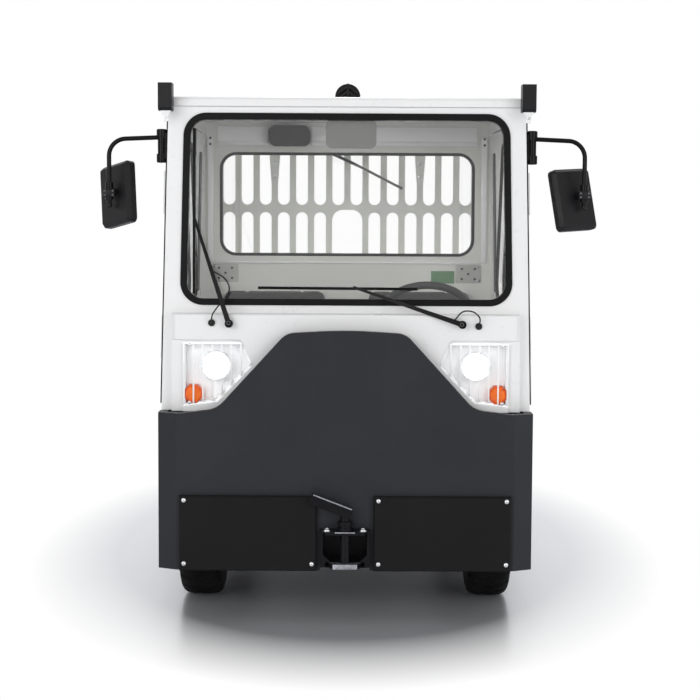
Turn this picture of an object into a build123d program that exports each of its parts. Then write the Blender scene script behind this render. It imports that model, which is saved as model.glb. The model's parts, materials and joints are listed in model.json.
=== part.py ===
from build123d import *
from math import atan, atan2, cos, degrees, hypot, radians, sin, tan
import os

os.makedirs("parts", exist_ok=True)

# Airport baggage tug: an electric tow tractor with a two-seat cab.
# Millimetres. The tug faces -Y, +X is its left side and +Z is up.
# Z = 0 is the ground and the origin is under the middle of the machine.

# ---------------------------------------------------------------- driving sizes
seat_gap = 0.3          # between pieces that sit against each other
move_gap = 6.0          # between a moving piece and what it closes against

# Running gear
bumper_face_y = -1500.0
front_overhang = 480.0
wheelbase = 1650.0
front_axle_y = bumper_face_y + front_overhang
rear_axle_y = front_axle_y + wheelbase
front_tyre_r = 270.0
front_tyre_width = 158.0
front_rim_r = 118.0
front_wheel_x = 526.0
rear_tyre_r = 335.0
rear_tyre_width = 190.0
rear_rim_r = 156.0
rear_wheel_x = 525.0
kingpin_x = 400.0
kingpin_r = 16.0
stub_r = 25.0
running_clearance = 0.05
track_arm = 130.0       # kingpin to tie rod, along the machine

# Chassis frame
rail_x = 235.0
rail_width = 60.0
rail_height = 120.0
rail_bottom = 300.0
rail_top = rail_bottom + rail_height
rear_rail_bottom = 404.0
rear_rail_top = 490.0
kick_start_y = 200.0
kick_length = 110.0

# Bumper plate with its bell-shaped upper edge
bumper_half = 650.0
bumper_bottom = 185.0
bumper_plate = 30.0
facet_width = 65.0
facet_depth = 32.0
return_depth = 100.0
shoulder_z = 731.0
bell_top_z = 1021.0
pad_inner = 98.0
pad_outer = 574.0
pad_bottom = 187.0
pad_top = 447.0
pad_thickness = 25.0

# Cab shell
cab_half = 646.0
cab_top_half = 623.0
cab_base_z = shoulder_z
cab_top_z = 1790.0
wall = 33.0
cab_front_y = -1398.0   # outer face of the windscreen wall at the cab's base
cab_rear_y = -137.0     # outer face of the rear wall
rake = 0.0454           # the windscreen wall leans back this much per unit of height
nose_setback = 60.0     # bumper face to the nose that carries the lamps and wipers
nose_half = 607.0
nose_side_chamfer = 14.0
nose_top_z = 1072.0
nose_edge_r = 8.0
roof_thickness = 33.0
roof_overhang = 22.0
floor_thickness = 10.0
floor_half = 612.0
arch_inner_x = 268.0
arch_top_z = 585.0
arch_back_y = -655.0

# Windows: half widths low and high, low and high edges, corner radius
screen_low_half = 582.0
screen_high_half = 568.0
screen_low_z = 1099.0
screen_high_z = 1768.0
window_corner = 80.0
rubber_width = 23.0
rubber_lap = 11.0
rubber_proud = 5.0
glass_thickness = 6.0
rear_window_half = 544.0
rear_window_low_z = 1225.0
rear_window_high_z = 1679.0

wiper_z = 1036.0        # of the front wipers' spindles on the nose

# Doors
door_front_y = -1270.0
door_rear_y = -210.0
door_entry_y = -690.0   # front edge of the entry below the waist
door_waist = 20.0       # up the side from the cab's base
door_foot = -296.0
door_header = 51.0      # side wall left above the door
hinge_out = 10.0
hinge_r = 9.0
hinge_length = 50.0

# Guard behind the cab
grille_y = -60.0
grille_plate = 6.0
slot_pitch = 76.9
slot_width = 49.7
slot_columns = 16
grille_bottom_z = 800.0
grille_top_z = 1752.0
slot_rows = [(1450.0, 1722.0), (1130.0, 1418.0), (850.0, 1098.0)]   # low z, high z
middle_slot_width = 128.0
middle_slot_top_z = 1429.0

# Rear body
body_front_y = -100.0
body_rear_y = 1430.0
body_half = 640.0
body_wall = 10.0
body_bottom_z = 320.0
deck_z = 780.0
lid_front_y = -20.0
lid_rear_y = 1060.0
lid_half = 600.0
lid_thickness = 24.0
rear_arch_r = 385.0
front_arch_r = 335.0
rear_bumper_plate = 30.0

# Seats and controls
seat_x = 300.0
seat_width = 440.0
seat_base_top = 640.0
cushion_thickness = 100.0
steering_x = 295.0
steering_y = -1030.0
steering_z = 1044.0
steering_r = 180.0
steering_rim_r = 14.0


def finish(builder, name):
    builder.part.label = name
    export_step(builder.part, "parts/" + name + ".step")


def trapezoid(low_half, high_half, low, high, inset):
    """Corners of a window outline, drawn in from its outer edge by inset."""
    return [
        (-(low_half - inset), low + inset),
        (low_half - inset, low + inset),
        (high_half - inset, high - inset),
        (-(high_half - inset), high - inset),
    ]


# ---------------------------------------------------------------- planes and derived sizes
lean_angle = atan((cab_half - cab_top_half) / (cab_top_z - cab_base_z))
side_height = (cab_top_z - cab_base_z) / cos(lean_angle)
# Left side of the cab: local x runs along +Y, local y up the leaning side
side_plane = Plane(
    origin=(cab_half, 0, cab_base_z), x_dir=(0, 1, 0), z_dir=(cos(lean_angle), 0, sin(lean_angle))
)
# Windscreen wall: local x runs along +X, local y up the raked face from the cab's base
rake_angle = atan(rake)
screen_plane = Plane(
    origin=(0, cab_front_y, cab_base_z), x_dir=(1, 0, 0), z_dir=(0, -cos(rake_angle), sin(rake_angle))
)
rear_plane = Plane(origin=(0, cab_rear_y, 0), x_dir=(-1, 0, 0), z_dir=(0, 1, 0))
side_slope = (cab_half - cab_top_half) / (cab_top_z - cab_base_z)
door_head = side_height - door_header
cab_depth_inner_y = cab_rear_y - wall
roof_top_z = cab_top_z + seat_gap + roof_thickness
floor_bottom = rail_top + seat_gap
floor_top = floor_bottom + floor_thickness


def front_wall_y(z, depth):
    """Y of the windscreen wall at height z, depth behind its outer face."""
    return cab_front_y + rake * (z - cab_base_z) + depth


def up_screen(z):
    """Distance up the raked face to height z."""
    return (z - cab_base_z) / cos(rake_angle)


def side_x(z):
    """X of the leaning left side's outer face at height z."""
    return cab_half - side_slope * (z - cab_base_z)


def plane_along(start, end, facing):
    """Plane at start whose local x runs to end and whose normal leans as near to facing as it can."""
    run = (Vector(*end) - Vector(*start)).normalized()
    normal = Vector(*facing) - run * run.dot(Vector(*facing))
    return Plane(origin=start, x_dir=run, z_dir=normal)


# ---------------------------------------------------------------- chassis frame
crossmember_width = 60.0
hitch_reach_in = 120.0      # of the front coupling behind the bumper's face
hitch_back_y = bumper_face_y + hitch_reach_in
# Places of the crossmembers
behind_front_axle = 380.0
before_kick = 140.0
behind_rear_axle = 300.0
before_rear_end = 70.0
crossmember_ys = [
    hitch_back_y + seat_gap + crossmember_width / 2,
    front_axle_y + behind_front_axle,
    kick_start_y - before_kick,
]
rear_crossmember_ys = [rear_axle_y + behind_rear_axle, body_rear_y - before_rear_end]
rail_front_y = bumper_face_y + bumper_plate + seat_gap
rail_rear_y = body_rear_y - body_wall - seat_gap

with BuildPart() as frame_rails:
    with BuildSketch(Plane.YZ.offset(rail_x - rail_width / 2)):
        Polygon(
            (rail_front_y, rail_bottom),
            (kick_start_y, rail_bottom),
            (kick_start_y + kick_length, rear_rail_bottom),
            (rail_rear_y, rear_rail_bottom),
            (rail_rear_y, rear_rail_top),
            (kick_start_y + kick_length / 2, rear_rail_top),
            (kick_start_y - kick_length / 2, rail_top),
            (rail_front_y, rail_top),
            align=None,
        )
    extrude(amount=rail_width)
    mirror(about=Plane.YZ)
    for member_y in crossmember_ys:
        with Locations((0, member_y, (rail_bottom + rail_top) / 2)):
            Box(2 * rail_x, crossmember_width, 2 / 3 * rail_height)
    for member_y in rear_crossmember_ys:
        with Locations((0, member_y, (rear_rail_bottom + rear_rail_top) / 2)):
            Box(2 * rail_x, crossmember_width, 2 / 3 * (rear_rail_top - rear_rail_bottom))
finish(frame_rails, "frame_rails")

# ---------------------------------------------------------------- front axle and steering
boss_r = 36.0
boss_height = 80.0
beam_top = rail_bottom - seat_gap
beam_height = 62.0
beam_depth = 80.0
lug_thickness = 24.0
web_inner = 44.0        # from the kingpin's axis
web_thickness = 18.0
lug_half_width = 36.0
axle_z = front_tyre_r
boss_low = axle_z - boss_height / 2
boss_high = axle_z + boss_height / 2
rod_z = boss_low - lug_thickness / 2 - seat_gap
rod_r = 14.0
arm_width = 34.0
stub_reach = 30.0       # of each stub axle beyond the wheel's middle
tie_y = front_axle_y + track_arm

with BuildPart() as front_axle:
    with Locations((0, front_axle_y, beam_top - beam_height / 2)):
        Box(2 * (kingpin_x - boss_r / 2), beam_depth, beam_height)
    with Locations((kingpin_x, front_axle_y, axle_z), (-kingpin_x, front_axle_y, axle_z)):
        Cylinder(boss_r, boss_height)
        Cylinder(kingpin_r + running_clearance, 2 * boss_height, mode=Mode.SUBTRACT)
finish(front_axle, "front_axle")

with BuildPart() as knuckle_left:
    for low in (boss_low - lug_thickness - seat_gap, boss_high + seat_gap):
        with BuildSketch(Plane.XY.offset(low)):
            with Locations((kingpin_x, front_axle_y)):
                Circle(lug_half_width)
            with Locations((kingpin_x + web_inner / 2 + web_thickness / 2, front_axle_y)):
                Rectangle(web_inner + web_thickness, 2 * lug_half_width)
        extrude(amount=lug_thickness)
    with Locations((kingpin_x + web_inner + web_thickness / 2, front_axle_y, axle_z)):
        Box(web_thickness, 2 * lug_half_width, boss_height + 2 * lug_thickness)
    with Locations((kingpin_x, front_axle_y, axle_z)):
        Cylinder(kingpin_r, boss_height + 2 * lug_thickness)
    with BuildSketch(Plane.YZ.offset(kingpin_x + web_inner)):
        with Locations((front_axle_y, axle_z)):
            Circle(stub_r)
    extrude(amount=front_wheel_x + stub_reach - kingpin_x - web_inner)
    with BuildSketch(Plane.XY.offset(rod_z + lug_thickness / 2)):
        with Locations((kingpin_x, front_axle_y + track_arm / 2)):
            Rectangle(arm_width, track_arm)
        with Locations((kingpin_x, tie_y)):
            Circle(arm_width / 2)
    extrude(amount=-lug_thickness)
finish(knuckle_left, "knuckle_left")

with BuildPart() as knuckle_right:
    mirror(knuckle_left.part, about=Plane.YZ)
finish(knuckle_right, "knuckle_right")

tie_z = rod_z - lug_thickness / 2 - seat_gap - rod_r
with BuildPart() as tie_rod:
    with BuildSketch(Plane.YZ.offset(-kingpin_x)):
        with Locations((tie_y, tie_z)):
            Circle(rod_r)
    extrude(amount=2 * kingpin_x)
    with Locations((kingpin_x, tie_y, tie_z), (-kingpin_x, tie_y, tie_z)):
        Cylinder(arm_width / 2, 2 * rod_r)
finish(tie_rod, "tie_rod")

# ---------------------------------------------------------------- drive axle
axle_tube_r = 52.0
diff_r = 66.0
diff_width = 190.0
motor_r = 62.0
motor_length = 300.0
diff_taper = 60.0
hub_flange_r = 90.0
hub_flange_thickness = 25.0
axle_end_x = rear_wheel_x - rear_tyre_width / 2 - 12.0
flange_x = axle_end_x - hub_flange_thickness

with BuildPart() as rear_axle:
    with BuildSketch(Plane.XZ.offset(-rear_axle_y)):
        with BuildLine():
            Polyline(
                (0, rear_tyre_r),
                (0, rear_tyre_r + diff_r),
                (diff_width / 2, rear_tyre_r + diff_r),
                (diff_width / 2 + diff_taper, rear_tyre_r + axle_tube_r),
                (flange_x, rear_tyre_r + axle_tube_r),
                (flange_x, rear_tyre_r + hub_flange_r),
                (axle_end_x, rear_tyre_r + hub_flange_r),
                (axle_end_x, rear_tyre_r + stub_r),
                (rear_wheel_x + stub_reach, rear_tyre_r + stub_r),
                (rear_wheel_x + stub_reach, rear_tyre_r),
                (0, rear_tyre_r),
            )
        make_face()
    revolve(axis=Axis((0, rear_axle_y, rear_tyre_r), (1, 0, 0)))
    mirror(about=Plane.YZ)
    with BuildSketch(Plane.XZ.offset(-rear_axle_y)):
        with Locations((0, rear_tyre_r)):
            Circle(motor_r)
    extrude(amount=motor_length)
    spring_seat_height = rear_rail_bottom - rear_tyre_r - seat_gap
    with Locations(
        (rail_x, rear_axle_y, rear_tyre_r + spring_seat_height / 2),
        (-rail_x, rear_axle_y, rear_tyre_r + spring_seat_height / 2),
    ):
        Box(rail_width, 2 * axle_tube_r, spring_seat_height)
finish(rear_axle, "rear_axle")


# ---------------------------------------------------------------- wheels
# Shape of a tyre's section, as shares of its half width and of its wall's height
bead_share = 0.78
bulge_share = 0.42
shoulder_width_share = 0.96
shoulder_share = 0.82
tread_width_share = 0.74
rim_lip = 4.0
rim_thickness = 9.0
rim_heel = 12.0         # of the well's foot outboard of the disc
disc_r = 74.0           # where the dished disc meets the hub's face
hub_face_r = 62.0
hub_barrel_r = 46.0
disc_depth = 34.0       # of the disc's inner face behind the bead
hub_setback = 20.0      # of the hub's face behind the bead
hub_length_in = 10.0    # of the hub barrel inboard of the wheel's middle


def tyre_profile(radius, width, rim_radius):
    """Half section of a tyre: radius against place along the axle."""
    half = width / 2
    bead = half * bead_share
    wall_height = radius - rim_radius
    return [
        (-bead, rim_radius),
        (bead, rim_radius),
        (half, rim_radius + bulge_share * wall_height),
        (half * shoulder_width_share, rim_radius + shoulder_share * wall_height),
        (half * tread_width_share, radius),
        (-half * tread_width_share, radius),
        (-half * shoulder_width_share, rim_radius + shoulder_share * wall_height),
        (-half, rim_radius + bulge_share * wall_height),
    ]


def rim_profile(width, rim_radius):
    """Half section of a pressed disc wheel with its hub, outboard to the right."""
    bead = width / 2 * bead_share
    outer = rim_radius - seat_gap
    inner = outer - rim_thickness
    disc_back = bead - disc_depth
    return [
        (-bead - rim_lip, outer),
        (bead + rim_lip, outer),
        (bead + rim_lip, inner),
        (disc_back + rim_heel, inner),
        (disc_back - rim_thickness, disc_r),
        (bead - hub_setback, hub_face_r),
        (bead - hub_setback, 0),
        (-hub_length_in, 0),
        (-hub_length_in, hub_barrel_r),
        (disc_back - 2 * rim_thickness, hub_face_r),
        (disc_back - 2 * rim_thickness, disc_r),
        (disc_back, inner),
        (-bead - rim_lip, inner),
    ]


wheel_table = [
    # name, wheel centre x, axle y, tyre radius, tyre width, rim radius
    ("front_left", front_wheel_x, front_axle_y, front_tyre_r, front_tyre_width, front_rim_r),
    ("front_right", -front_wheel_x, front_axle_y, front_tyre_r, front_tyre_width, front_rim_r),
    ("rear_left", rear_wheel_x, rear_axle_y, rear_tyre_r, rear_tyre_width, rear_rim_r),
    ("rear_right", -rear_wheel_x, rear_axle_y, rear_tyre_r, rear_tyre_width, rear_rim_r),
]

for wheel_name, wheel_x, wheel_y, tyre_r, tyre_width, rim_r in wheel_table:
    outboard = 1 if wheel_x > 0 else -1
    centre = (wheel_x, wheel_y, tyre_r)
    section_plane = Plane(origin=centre, x_dir=(outboard, 0, 0), z_dir=(0, -outboard, 0))
    axle_plane = Plane(origin=centre, z_dir=(outboard, 0, 0))
    with BuildPart() as tyre:
        with BuildSketch(section_plane):
            Polygon(*tyre_profile(tyre_r, tyre_width, rim_r), align=None)
        revolve(axis=Axis(centre, (1, 0, 0)))
    finish(tyre, "tyre_" + wheel_name)
    with BuildPart() as rim:
        with BuildSketch(section_plane):
            Polygon(*rim_profile(tyre_width, rim_r), align=None)
        revolve(axis=Axis(centre, (1, 0, 0)))
        with BuildSketch(axle_plane.offset(-2 * hub_length_in)):
            Circle(stub_r + running_clearance)
        extrude(amount=2 * hub_length_in + stub_reach + 1, mode=Mode.SUBTRACT)
    finish(rim, "rim_" + wheel_name)

# ---------------------------------------------------------------- bumper plate
facet_angle = atan2(facet_depth, facet_width)
flat_half = bumper_half - facet_width


def bumper_plan(inset):
    """Plan of the bumper's wrapped front, set in from its outer face."""
    shift_x = -sin(facet_angle) * inset
    shift_y = cos(facet_angle) * inset
    facet_start = flat_half - inset * tan(facet_angle / 2)
    side_x = bumper_half - inset
    along = (side_x - (flat_half + shift_x)) / cos(facet_angle)
    facet_end_y = bumper_face_y + shift_y + along * sin(facet_angle)
    return facet_start, bumper_face_y + inset, side_x, facet_end_y


outer_flat, outer_y, outer_side, outer_end = bumper_plan(0)
inner_flat, inner_y, inner_side, inner_end = bumper_plan(bumper_plate)
return_y = bumper_face_y + return_depth
# Left half of the bell outline, from the shoulder to the crown: x, z, corner radius
bell_half = [
    (flat_half - 15.0, shoulder_z, 100.0),
    (446.0, shoulder_z + 15.0, 90.0),
    (206.0, bell_top_z - 12.0, 70.0),
]
bell_corners = [
    *bell_half,
    (0.0, bell_top_z, 1500.0),
    *[(-x, z, radius) for x, z, radius in reversed(bell_half)],
]
hitch_half = 86.0
hitch_bottom = 200.0
hitch_top = 331.0

with BuildPart() as front_bumper:
    with BuildSketch(Plane.XY.offset(bumper_bottom)):
        with BuildLine():
            Polyline(
                (-outer_side, return_y),
                (-outer_side, outer_end),
                (-outer_flat, outer_y),
                (outer_flat, outer_y),
                (outer_side, outer_end),
                (outer_side, return_y),
                (inner_side, return_y),
                (inner_side, inner_end),
                (inner_flat, inner_y),
                (-inner_flat, inner_y),
                (-inner_side, inner_end),
                (-inner_side, return_y),
                (-outer_side, return_y),
            )
        make_face()
    extrude(amount=bell_top_z - bumper_bottom)
    with BuildSketch(Plane.XZ.offset(-return_y)):
        with BuildLine():
            FilletPolyline(
                (bumper_half, shoulder_z),
                *[(x, z) for x, z, radius in bell_corners],
                (-bumper_half, shoulder_z),
                radius=[radius for x, z, radius in bell_corners],
            )
            Polyline(
                (-bumper_half, shoulder_z),
                (-bumper_half, bumper_bottom),
                (bumper_half, bumper_bottom),
                (bumper_half, shoulder_z),
            )
        make_face()
    extrude(amount=return_depth, mode=Mode.INTERSECT)
    with Locations((0, bumper_face_y, hitch_top / 2)):
        Box(2 * (hitch_half + seat_gap), 4 * bumper_plate, hitch_top + 2 * seat_gap, mode=Mode.SUBTRACT)
finish(front_bumper, "front_bumper")

pad_chamfer = 5.0
with BuildPart() as bumper_pads:
    with BuildSketch(Plane.XZ.offset(-(bumper_face_y - seat_gap))):
        with Locations(((pad_inner + pad_outer) / 2, (pad_bottom + pad_top) / 2)):
            Rectangle(pad_outer - pad_inner, pad_top - pad_bottom)
    extrude(amount=pad_thickness)
    chamfer(bumper_pads.faces().sort_by(Axis.Y)[0].edges(), pad_chamfer)
    mirror(about=Plane.YZ)
finish(bumper_pads, "bumper_pads")

# ---------------------------------------------------------------- front coupling
mouth_half = 76.0
mouth_low = 218.0
mouth_high = 319.0
mouth_corner = 26.0
hitch_front_y = bumper_face_y - pad_thickness
hitch_back_plate = 20.0
pin_y = bumper_face_y - 30.0
pin_r = 16.0
lip_reach = 62.0
lip_plate = 12.0        # thickness of the upper lip
# Guide lips below and above the mouth: low z, high z, half width at the root, half width at the tip
lip_table = [
    (hitch_bottom, mouth_low, 56.0, 42.0),
    (mouth_high, mouth_high + lip_plate, 75.0, 68.0),
]

with BuildPart() as front_hitch:
    hitch_depth = hitch_back_y - hitch_front_y
    with Locations((0, hitch_front_y + hitch_depth / 2, (hitch_bottom + hitch_top) / 2)):
        Box(2 * hitch_half, hitch_depth, hitch_top - hitch_bottom)
    with BuildSketch(Plane.XZ.offset(-hitch_front_y)):
        Polygon(
            (-mouth_half, mouth_high),
            (-mouth_half, mouth_low + mouth_corner),
            (-mouth_half + mouth_corner, mouth_low),
            (mouth_half - mouth_corner, mouth_low),
            (mouth_half, mouth_low + mouth_corner),
            (mouth_half, mouth_high),
            align=None,
        )
    extrude(amount=-(hitch_depth - hitch_back_plate), mode=Mode.SUBTRACT)
    for low, high, near, far in lip_table:
        with BuildSketch(Plane.XY.offset(low)):
            Polygon(
                (-near, hitch_front_y),
                (near, hitch_front_y),
                (far, bumper_face_y - lip_reach),
                (-far, bumper_face_y - lip_reach),
                align=None,
            )
        extrude(amount=high - low)
    with Locations((0, pin_y, (hitch_bottom + hitch_top) / 2)):
        Cylinder(pin_r + seat_gap, 2 * hitch_top, mode=Mode.SUBTRACT)
finish(front_hitch, "front_hitch")

# The pin's neck wears a pleated boot, and a folded plate on its top is the hand lever
boot_r = 26.0
boot_height = 32.0
pleat_depth = 5.0
pin_stand = 61.0        # of the pin above the coupling
lever_start_x = 22.0
lever_length = 152.0
lever_height = 40.0
lever_plate = 5.0
lever_fold = 20.0       # reach of the folded edge along the plate's top
lever_slope = 21.0
lever_lug = (24.0, 12.0)        # across the machine and height
pin_low = hitch_bottom + 2.0
pin_top = hitch_top + pin_stand
lever_y = pin_y - pin_r - 2.0
with BuildPart() as hitch_lever:
    with BuildSketch(Plane.XY.offset(pin_low)):
        with Locations((0, pin_y)):
            Circle(pin_r)
    extrude(amount=pin_top - pin_low)
    pleat = (boot_height - seat_gap) / 3
    for level, radius in enumerate((boot_r, boot_r - pleat_depth, boot_r)):
        with BuildSketch(Plane.XY.offset(hitch_top + seat_gap + level * pleat)):
            with Locations((0, pin_y)):
                Circle(radius)
        extrude(amount=pleat)
    lever_plane = Plane(
        origin=(lever_start_x, lever_y, pin_top),
        x_dir=(-cos(radians(lever_slope)), 0, sin(radians(lever_slope))),
        z_dir=(0, -1, 0),
    )
    with BuildSketch(lever_plane):
        with Locations((lever_length / 2, 0)):
            Rectangle(lever_length, lever_height)
        chamfer(vertices().group_by(Axis.X)[0], lever_plate)
    extrude(amount=lever_plate)
    with BuildSketch(lever_plane):
        with Locations((lever_length / 2, (lever_plate - lever_height) / 2)):
            Rectangle(lever_length - 2 * lever_plate, lever_plate)
    extrude(amount=lever_fold)
    with BuildSketch(Plane.XY.offset(pin_top - lever_lug[1])):
        with Locations((0, (pin_y + lever_y) / 2)):
            Rectangle(lever_lug[0], pin_y - lever_y)
    extrude(amount=lever_lug[1])
finish(hitch_lever, "hitch_lever")

# ---------------------------------------------------------------- lower side plates
side_plate = 10.0
side_plate_top = cab_base_z - 2 * seat_gap
door_gap_plate = move_gap + 1
with BuildPart() as side_plates:
    with BuildSketch(Plane.YZ.offset(body_half - side_plate)):
        front = return_y + seat_gap
        back = body_front_y - seat_gap
        with Locations(((front + back) / 2, (bumper_bottom + side_plate_top) / 2)):
            Rectangle(back - front, side_plate_top - bumper_bottom)
        with Locations((front_axle_y, axle_z)):
            Circle(front_arch_r, mode=Mode.SUBTRACT)
        with Locations((front_axle_y, bumper_bottom)):
            Rectangle(2 * front_arch_r, 2 * (axle_z - bumper_bottom), mode=Mode.SUBTRACT)
        entry_low = cab_base_z + door_foot - door_gap_plate
        with Locations(((door_entry_y + door_rear_y) / 2, (entry_low + shoulder_z) / 2 + 1)):
            Rectangle(
                door_rear_y - door_entry_y + 2 * door_gap_plate,
                shoulder_z - entry_low + 2,
                mode=Mode.SUBTRACT,
            )
    extrude(amount=side_plate)
    mirror(about=Plane.YZ)
finish(side_plates, "side_plates")

# ---------------------------------------------------------------- cab floor, wheel boxes and bulkheads
firewall_y = return_y
with BuildPart() as cab_floor:
    with BuildSketch(Plane.XY.offset(floor_bottom)):
        with Locations((0, (arch_back_y + cab_depth_inner_y) / 2)):
            Rectangle(2 * floor_half, cab_depth_inner_y - arch_back_y)
        with Locations((0, (firewall_y + arch_back_y) / 2)):
            Rectangle(2 * (arch_inner_x + floor_thickness), arch_back_y - firewall_y)
    extrude(amount=floor_thickness)
    for side in (-1, 1):
        inner_wall_x = side * (arch_inner_x + floor_thickness / 2)
        with Locations((inner_wall_x, (firewall_y + arch_back_y) / 2, (floor_bottom + arch_top_z) / 2)):
            Box(floor_thickness, arch_back_y - firewall_y, arch_top_z - floor_bottom)
        box_middle_x = side * (arch_inner_x + floor_half) / 2
        with Locations((box_middle_x, (firewall_y + arch_back_y) / 2, arch_top_z - floor_thickness / 2)):
            Box(floor_half - arch_inner_x, arch_back_y - firewall_y, floor_thickness)
        with Locations((box_middle_x, arch_back_y - floor_thickness / 2, (floor_bottom + arch_top_z) / 2)):
            Box(floor_half - arch_inner_x, floor_thickness, arch_top_z - floor_bottom)
    for plate_y in (firewall_y + floor_thickness / 2, cab_depth_inner_y - floor_thickness / 2):
        with Locations((0, plate_y, (floor_bottom + cab_base_z) / 2)):
            Box(2 * floor_half, floor_thickness, cab_base_z - floor_bottom)
finish(cab_floor, "cab_floor")

# ---------------------------------------------------------------- cab front: windscreen wall and nose
nose_face_y = bumper_face_y + nose_setback
# Lamp cover outline on the left of the nose: x, z
cover_corners = [(566.0, 973.0), (362.0, 973.0), (326.0, 894.0), (450.0, 765.0), (566.0, 750.0)]
cover_thickness = 8.0
cover_margin = 8.0
cover_gap = 3.0         # between a lamp cover and the edge of its recess
recess_depth = 14.0     # of the lamp recess behind the nose's face
recess_top_z = cover_corners[0][1] + 9.0
pocket_depth = 44.0     # of the lamp pocket behind the recess
# Amber lamp, eight-sided, in the low outer corner of each pocket: middle and half its width
indicator_x = 532.0
indicator_z = 791.0
indicator_r = 32.0
recess_face_y = nose_face_y + recess_depth
pocket_back_y = recess_face_y + pocket_depth
panel_low = cab_base_z + seat_gap


def indicator_outline(side, clearance):
    """Eight-sided outline of one amber lamp, grown by clearance."""
    with BuildSketch() as outline:
        with Locations((side * indicator_x, indicator_z)):
            RegularPolygon(indicator_r + clearance, 8, major_radius=False, rotation=180 / 8)
    return outline.sketch


with BuildPart() as cab_front:
    with BuildSketch(Plane.YZ.offset(-cab_half)):
        Polygon(
            (front_wall_y(panel_low, 0), panel_low),
            (front_wall_y(cab_top_z, 0), cab_top_z),
            (front_wall_y(cab_top_z, wall), cab_top_z),
            (front_wall_y(panel_low, wall), panel_low),
            align=None,
        )
    extrude(amount=2 * cab_half)
    with BuildSketch(Plane.XZ.offset(-cab_rear_y)):
        Polygon(
            (-cab_half, cab_base_z),
            (cab_half, cab_base_z),
            (cab_top_half, cab_top_z),
            (-cab_top_half, cab_top_z),
            align=None,
        )
    extrude(amount=cab_rear_y - bumper_face_y, mode=Mode.INTERSECT)
    # Nose moulding along the wall's foot, its sides chamfered back to the wall
    nose_back_y = front_wall_y(nose_top_z, wall / 2)
    with BuildSketch(Plane.XY.offset(panel_low)):
        Polygon(
            (-nose_half, nose_back_y),
            (-nose_half, nose_face_y + nose_side_chamfer),
            (-nose_half + nose_side_chamfer, nose_face_y),
            (nose_half - nose_side_chamfer, nose_face_y),
            (nose_half, nose_face_y + nose_side_chamfer),
            (nose_half, nose_back_y),
            align=None,
        )
    extrude(amount=nose_top_z - panel_low)
    fillet(cab_front.faces().sort_by(Axis.Y)[0].edges().sort_by(Axis.Z)[-1], nose_edge_r)
    screen_low = up_screen(screen_low_z)
    screen_high = up_screen(screen_high_z)
    screen_corners = trapezoid(screen_low_half, screen_high_half, screen_low, screen_high, rubber_lap)
    with BuildSketch(screen_plane):
        Polygon(*screen_corners, align=None)
        fillet(vertices(), window_corner - rubber_lap)
    extrude(amount=2 * wall, both=True, mode=Mode.SUBTRACT)
    for side in (-1, 1):
        with BuildSketch(Plane.XZ.offset(-nose_face_y)):
            Polygon(*[(side * x, z) for x, z in cover_corners], align=None)
            offset(amount=cover_gap, kind=Kind.INTERSECTION, mode=Mode.REPLACE)
            recess_inner = cover_corners[1][0] + cover_gap
            with Locations((side * (recess_inner + nose_half) / 2, recess_top_z - cover_margin)):
                Rectangle(nose_half - recess_inner, 2 * cover_margin)
            recess_outer = cover_corners[0][0]
            with Locations((side * (recess_outer + nose_half) / 2, (panel_low + recess_top_z) / 2)):
                Rectangle(nose_half - recess_outer, recess_top_z - panel_low)
        extrude(amount=-recess_depth, mode=Mode.SUBTRACT)
        with BuildSketch(Plane.XZ.offset(-nose_face_y)):
            Polygon(*[(side * x, z) for x, z in cover_corners], align=None)
            offset(amount=-cover_margin, mode=Mode.REPLACE)
            add(indicator_outline(side, seat_gap))
        extrude(amount=-(recess_depth + pocket_depth), mode=Mode.SUBTRACT)
finish(cab_front, "cab_front")

# ---------------------------------------------------------------- doors and cab sides
door_outline = [
    (door_front_y, door_waist),
    (door_entry_y, door_waist),
    (door_entry_y, door_foot),
    (door_rear_y, door_foot),
    (door_rear_y, door_head),
    (door_front_y, door_head),
]
# Window in the door: its rear edge slopes forward to the top
window_front_margin = 75.0
window_rear_low_margin = 220.0
window_rear_high_margin = 590.0
window_sill = 330.0     # above the door's waist
window_head_margin = 58.0
door_window = [
    (door_front_y + window_front_margin, door_waist + window_sill),
    (door_rear_y - window_rear_low_margin, door_waist + window_sill),
    (door_rear_y - window_rear_high_margin, door_head - window_head_margin),
    (door_front_y + window_front_margin, door_head - window_head_margin),
]
door_window_corner = 55.0
# Middle of each hinge up the side
hinge_levels = [door_waist + 230.0, door_head - 248.0]
hinge_leaf = 45.0
hinge_y = door_front_y - move_gap / 2
# Shallow pressing behind the latch handle: along the door, up the side
handle_recess = (150.0, 62.0)
handle_recess_depth = 3.5
handle_from_edge = 120.0
handle_level = door_waist + 210.0


def hinge_barrel(level):
    """Plane at the foot of a hinge barrel, square to the door's hinge line."""
    foot = side_plane.from_local_coords(Vector(hinge_y, level - hinge_length / 2 + seat_gap, hinge_out))
    return Plane(foot, x_dir=side_plane.x_dir, z_dir=side_plane.y_dir)

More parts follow.
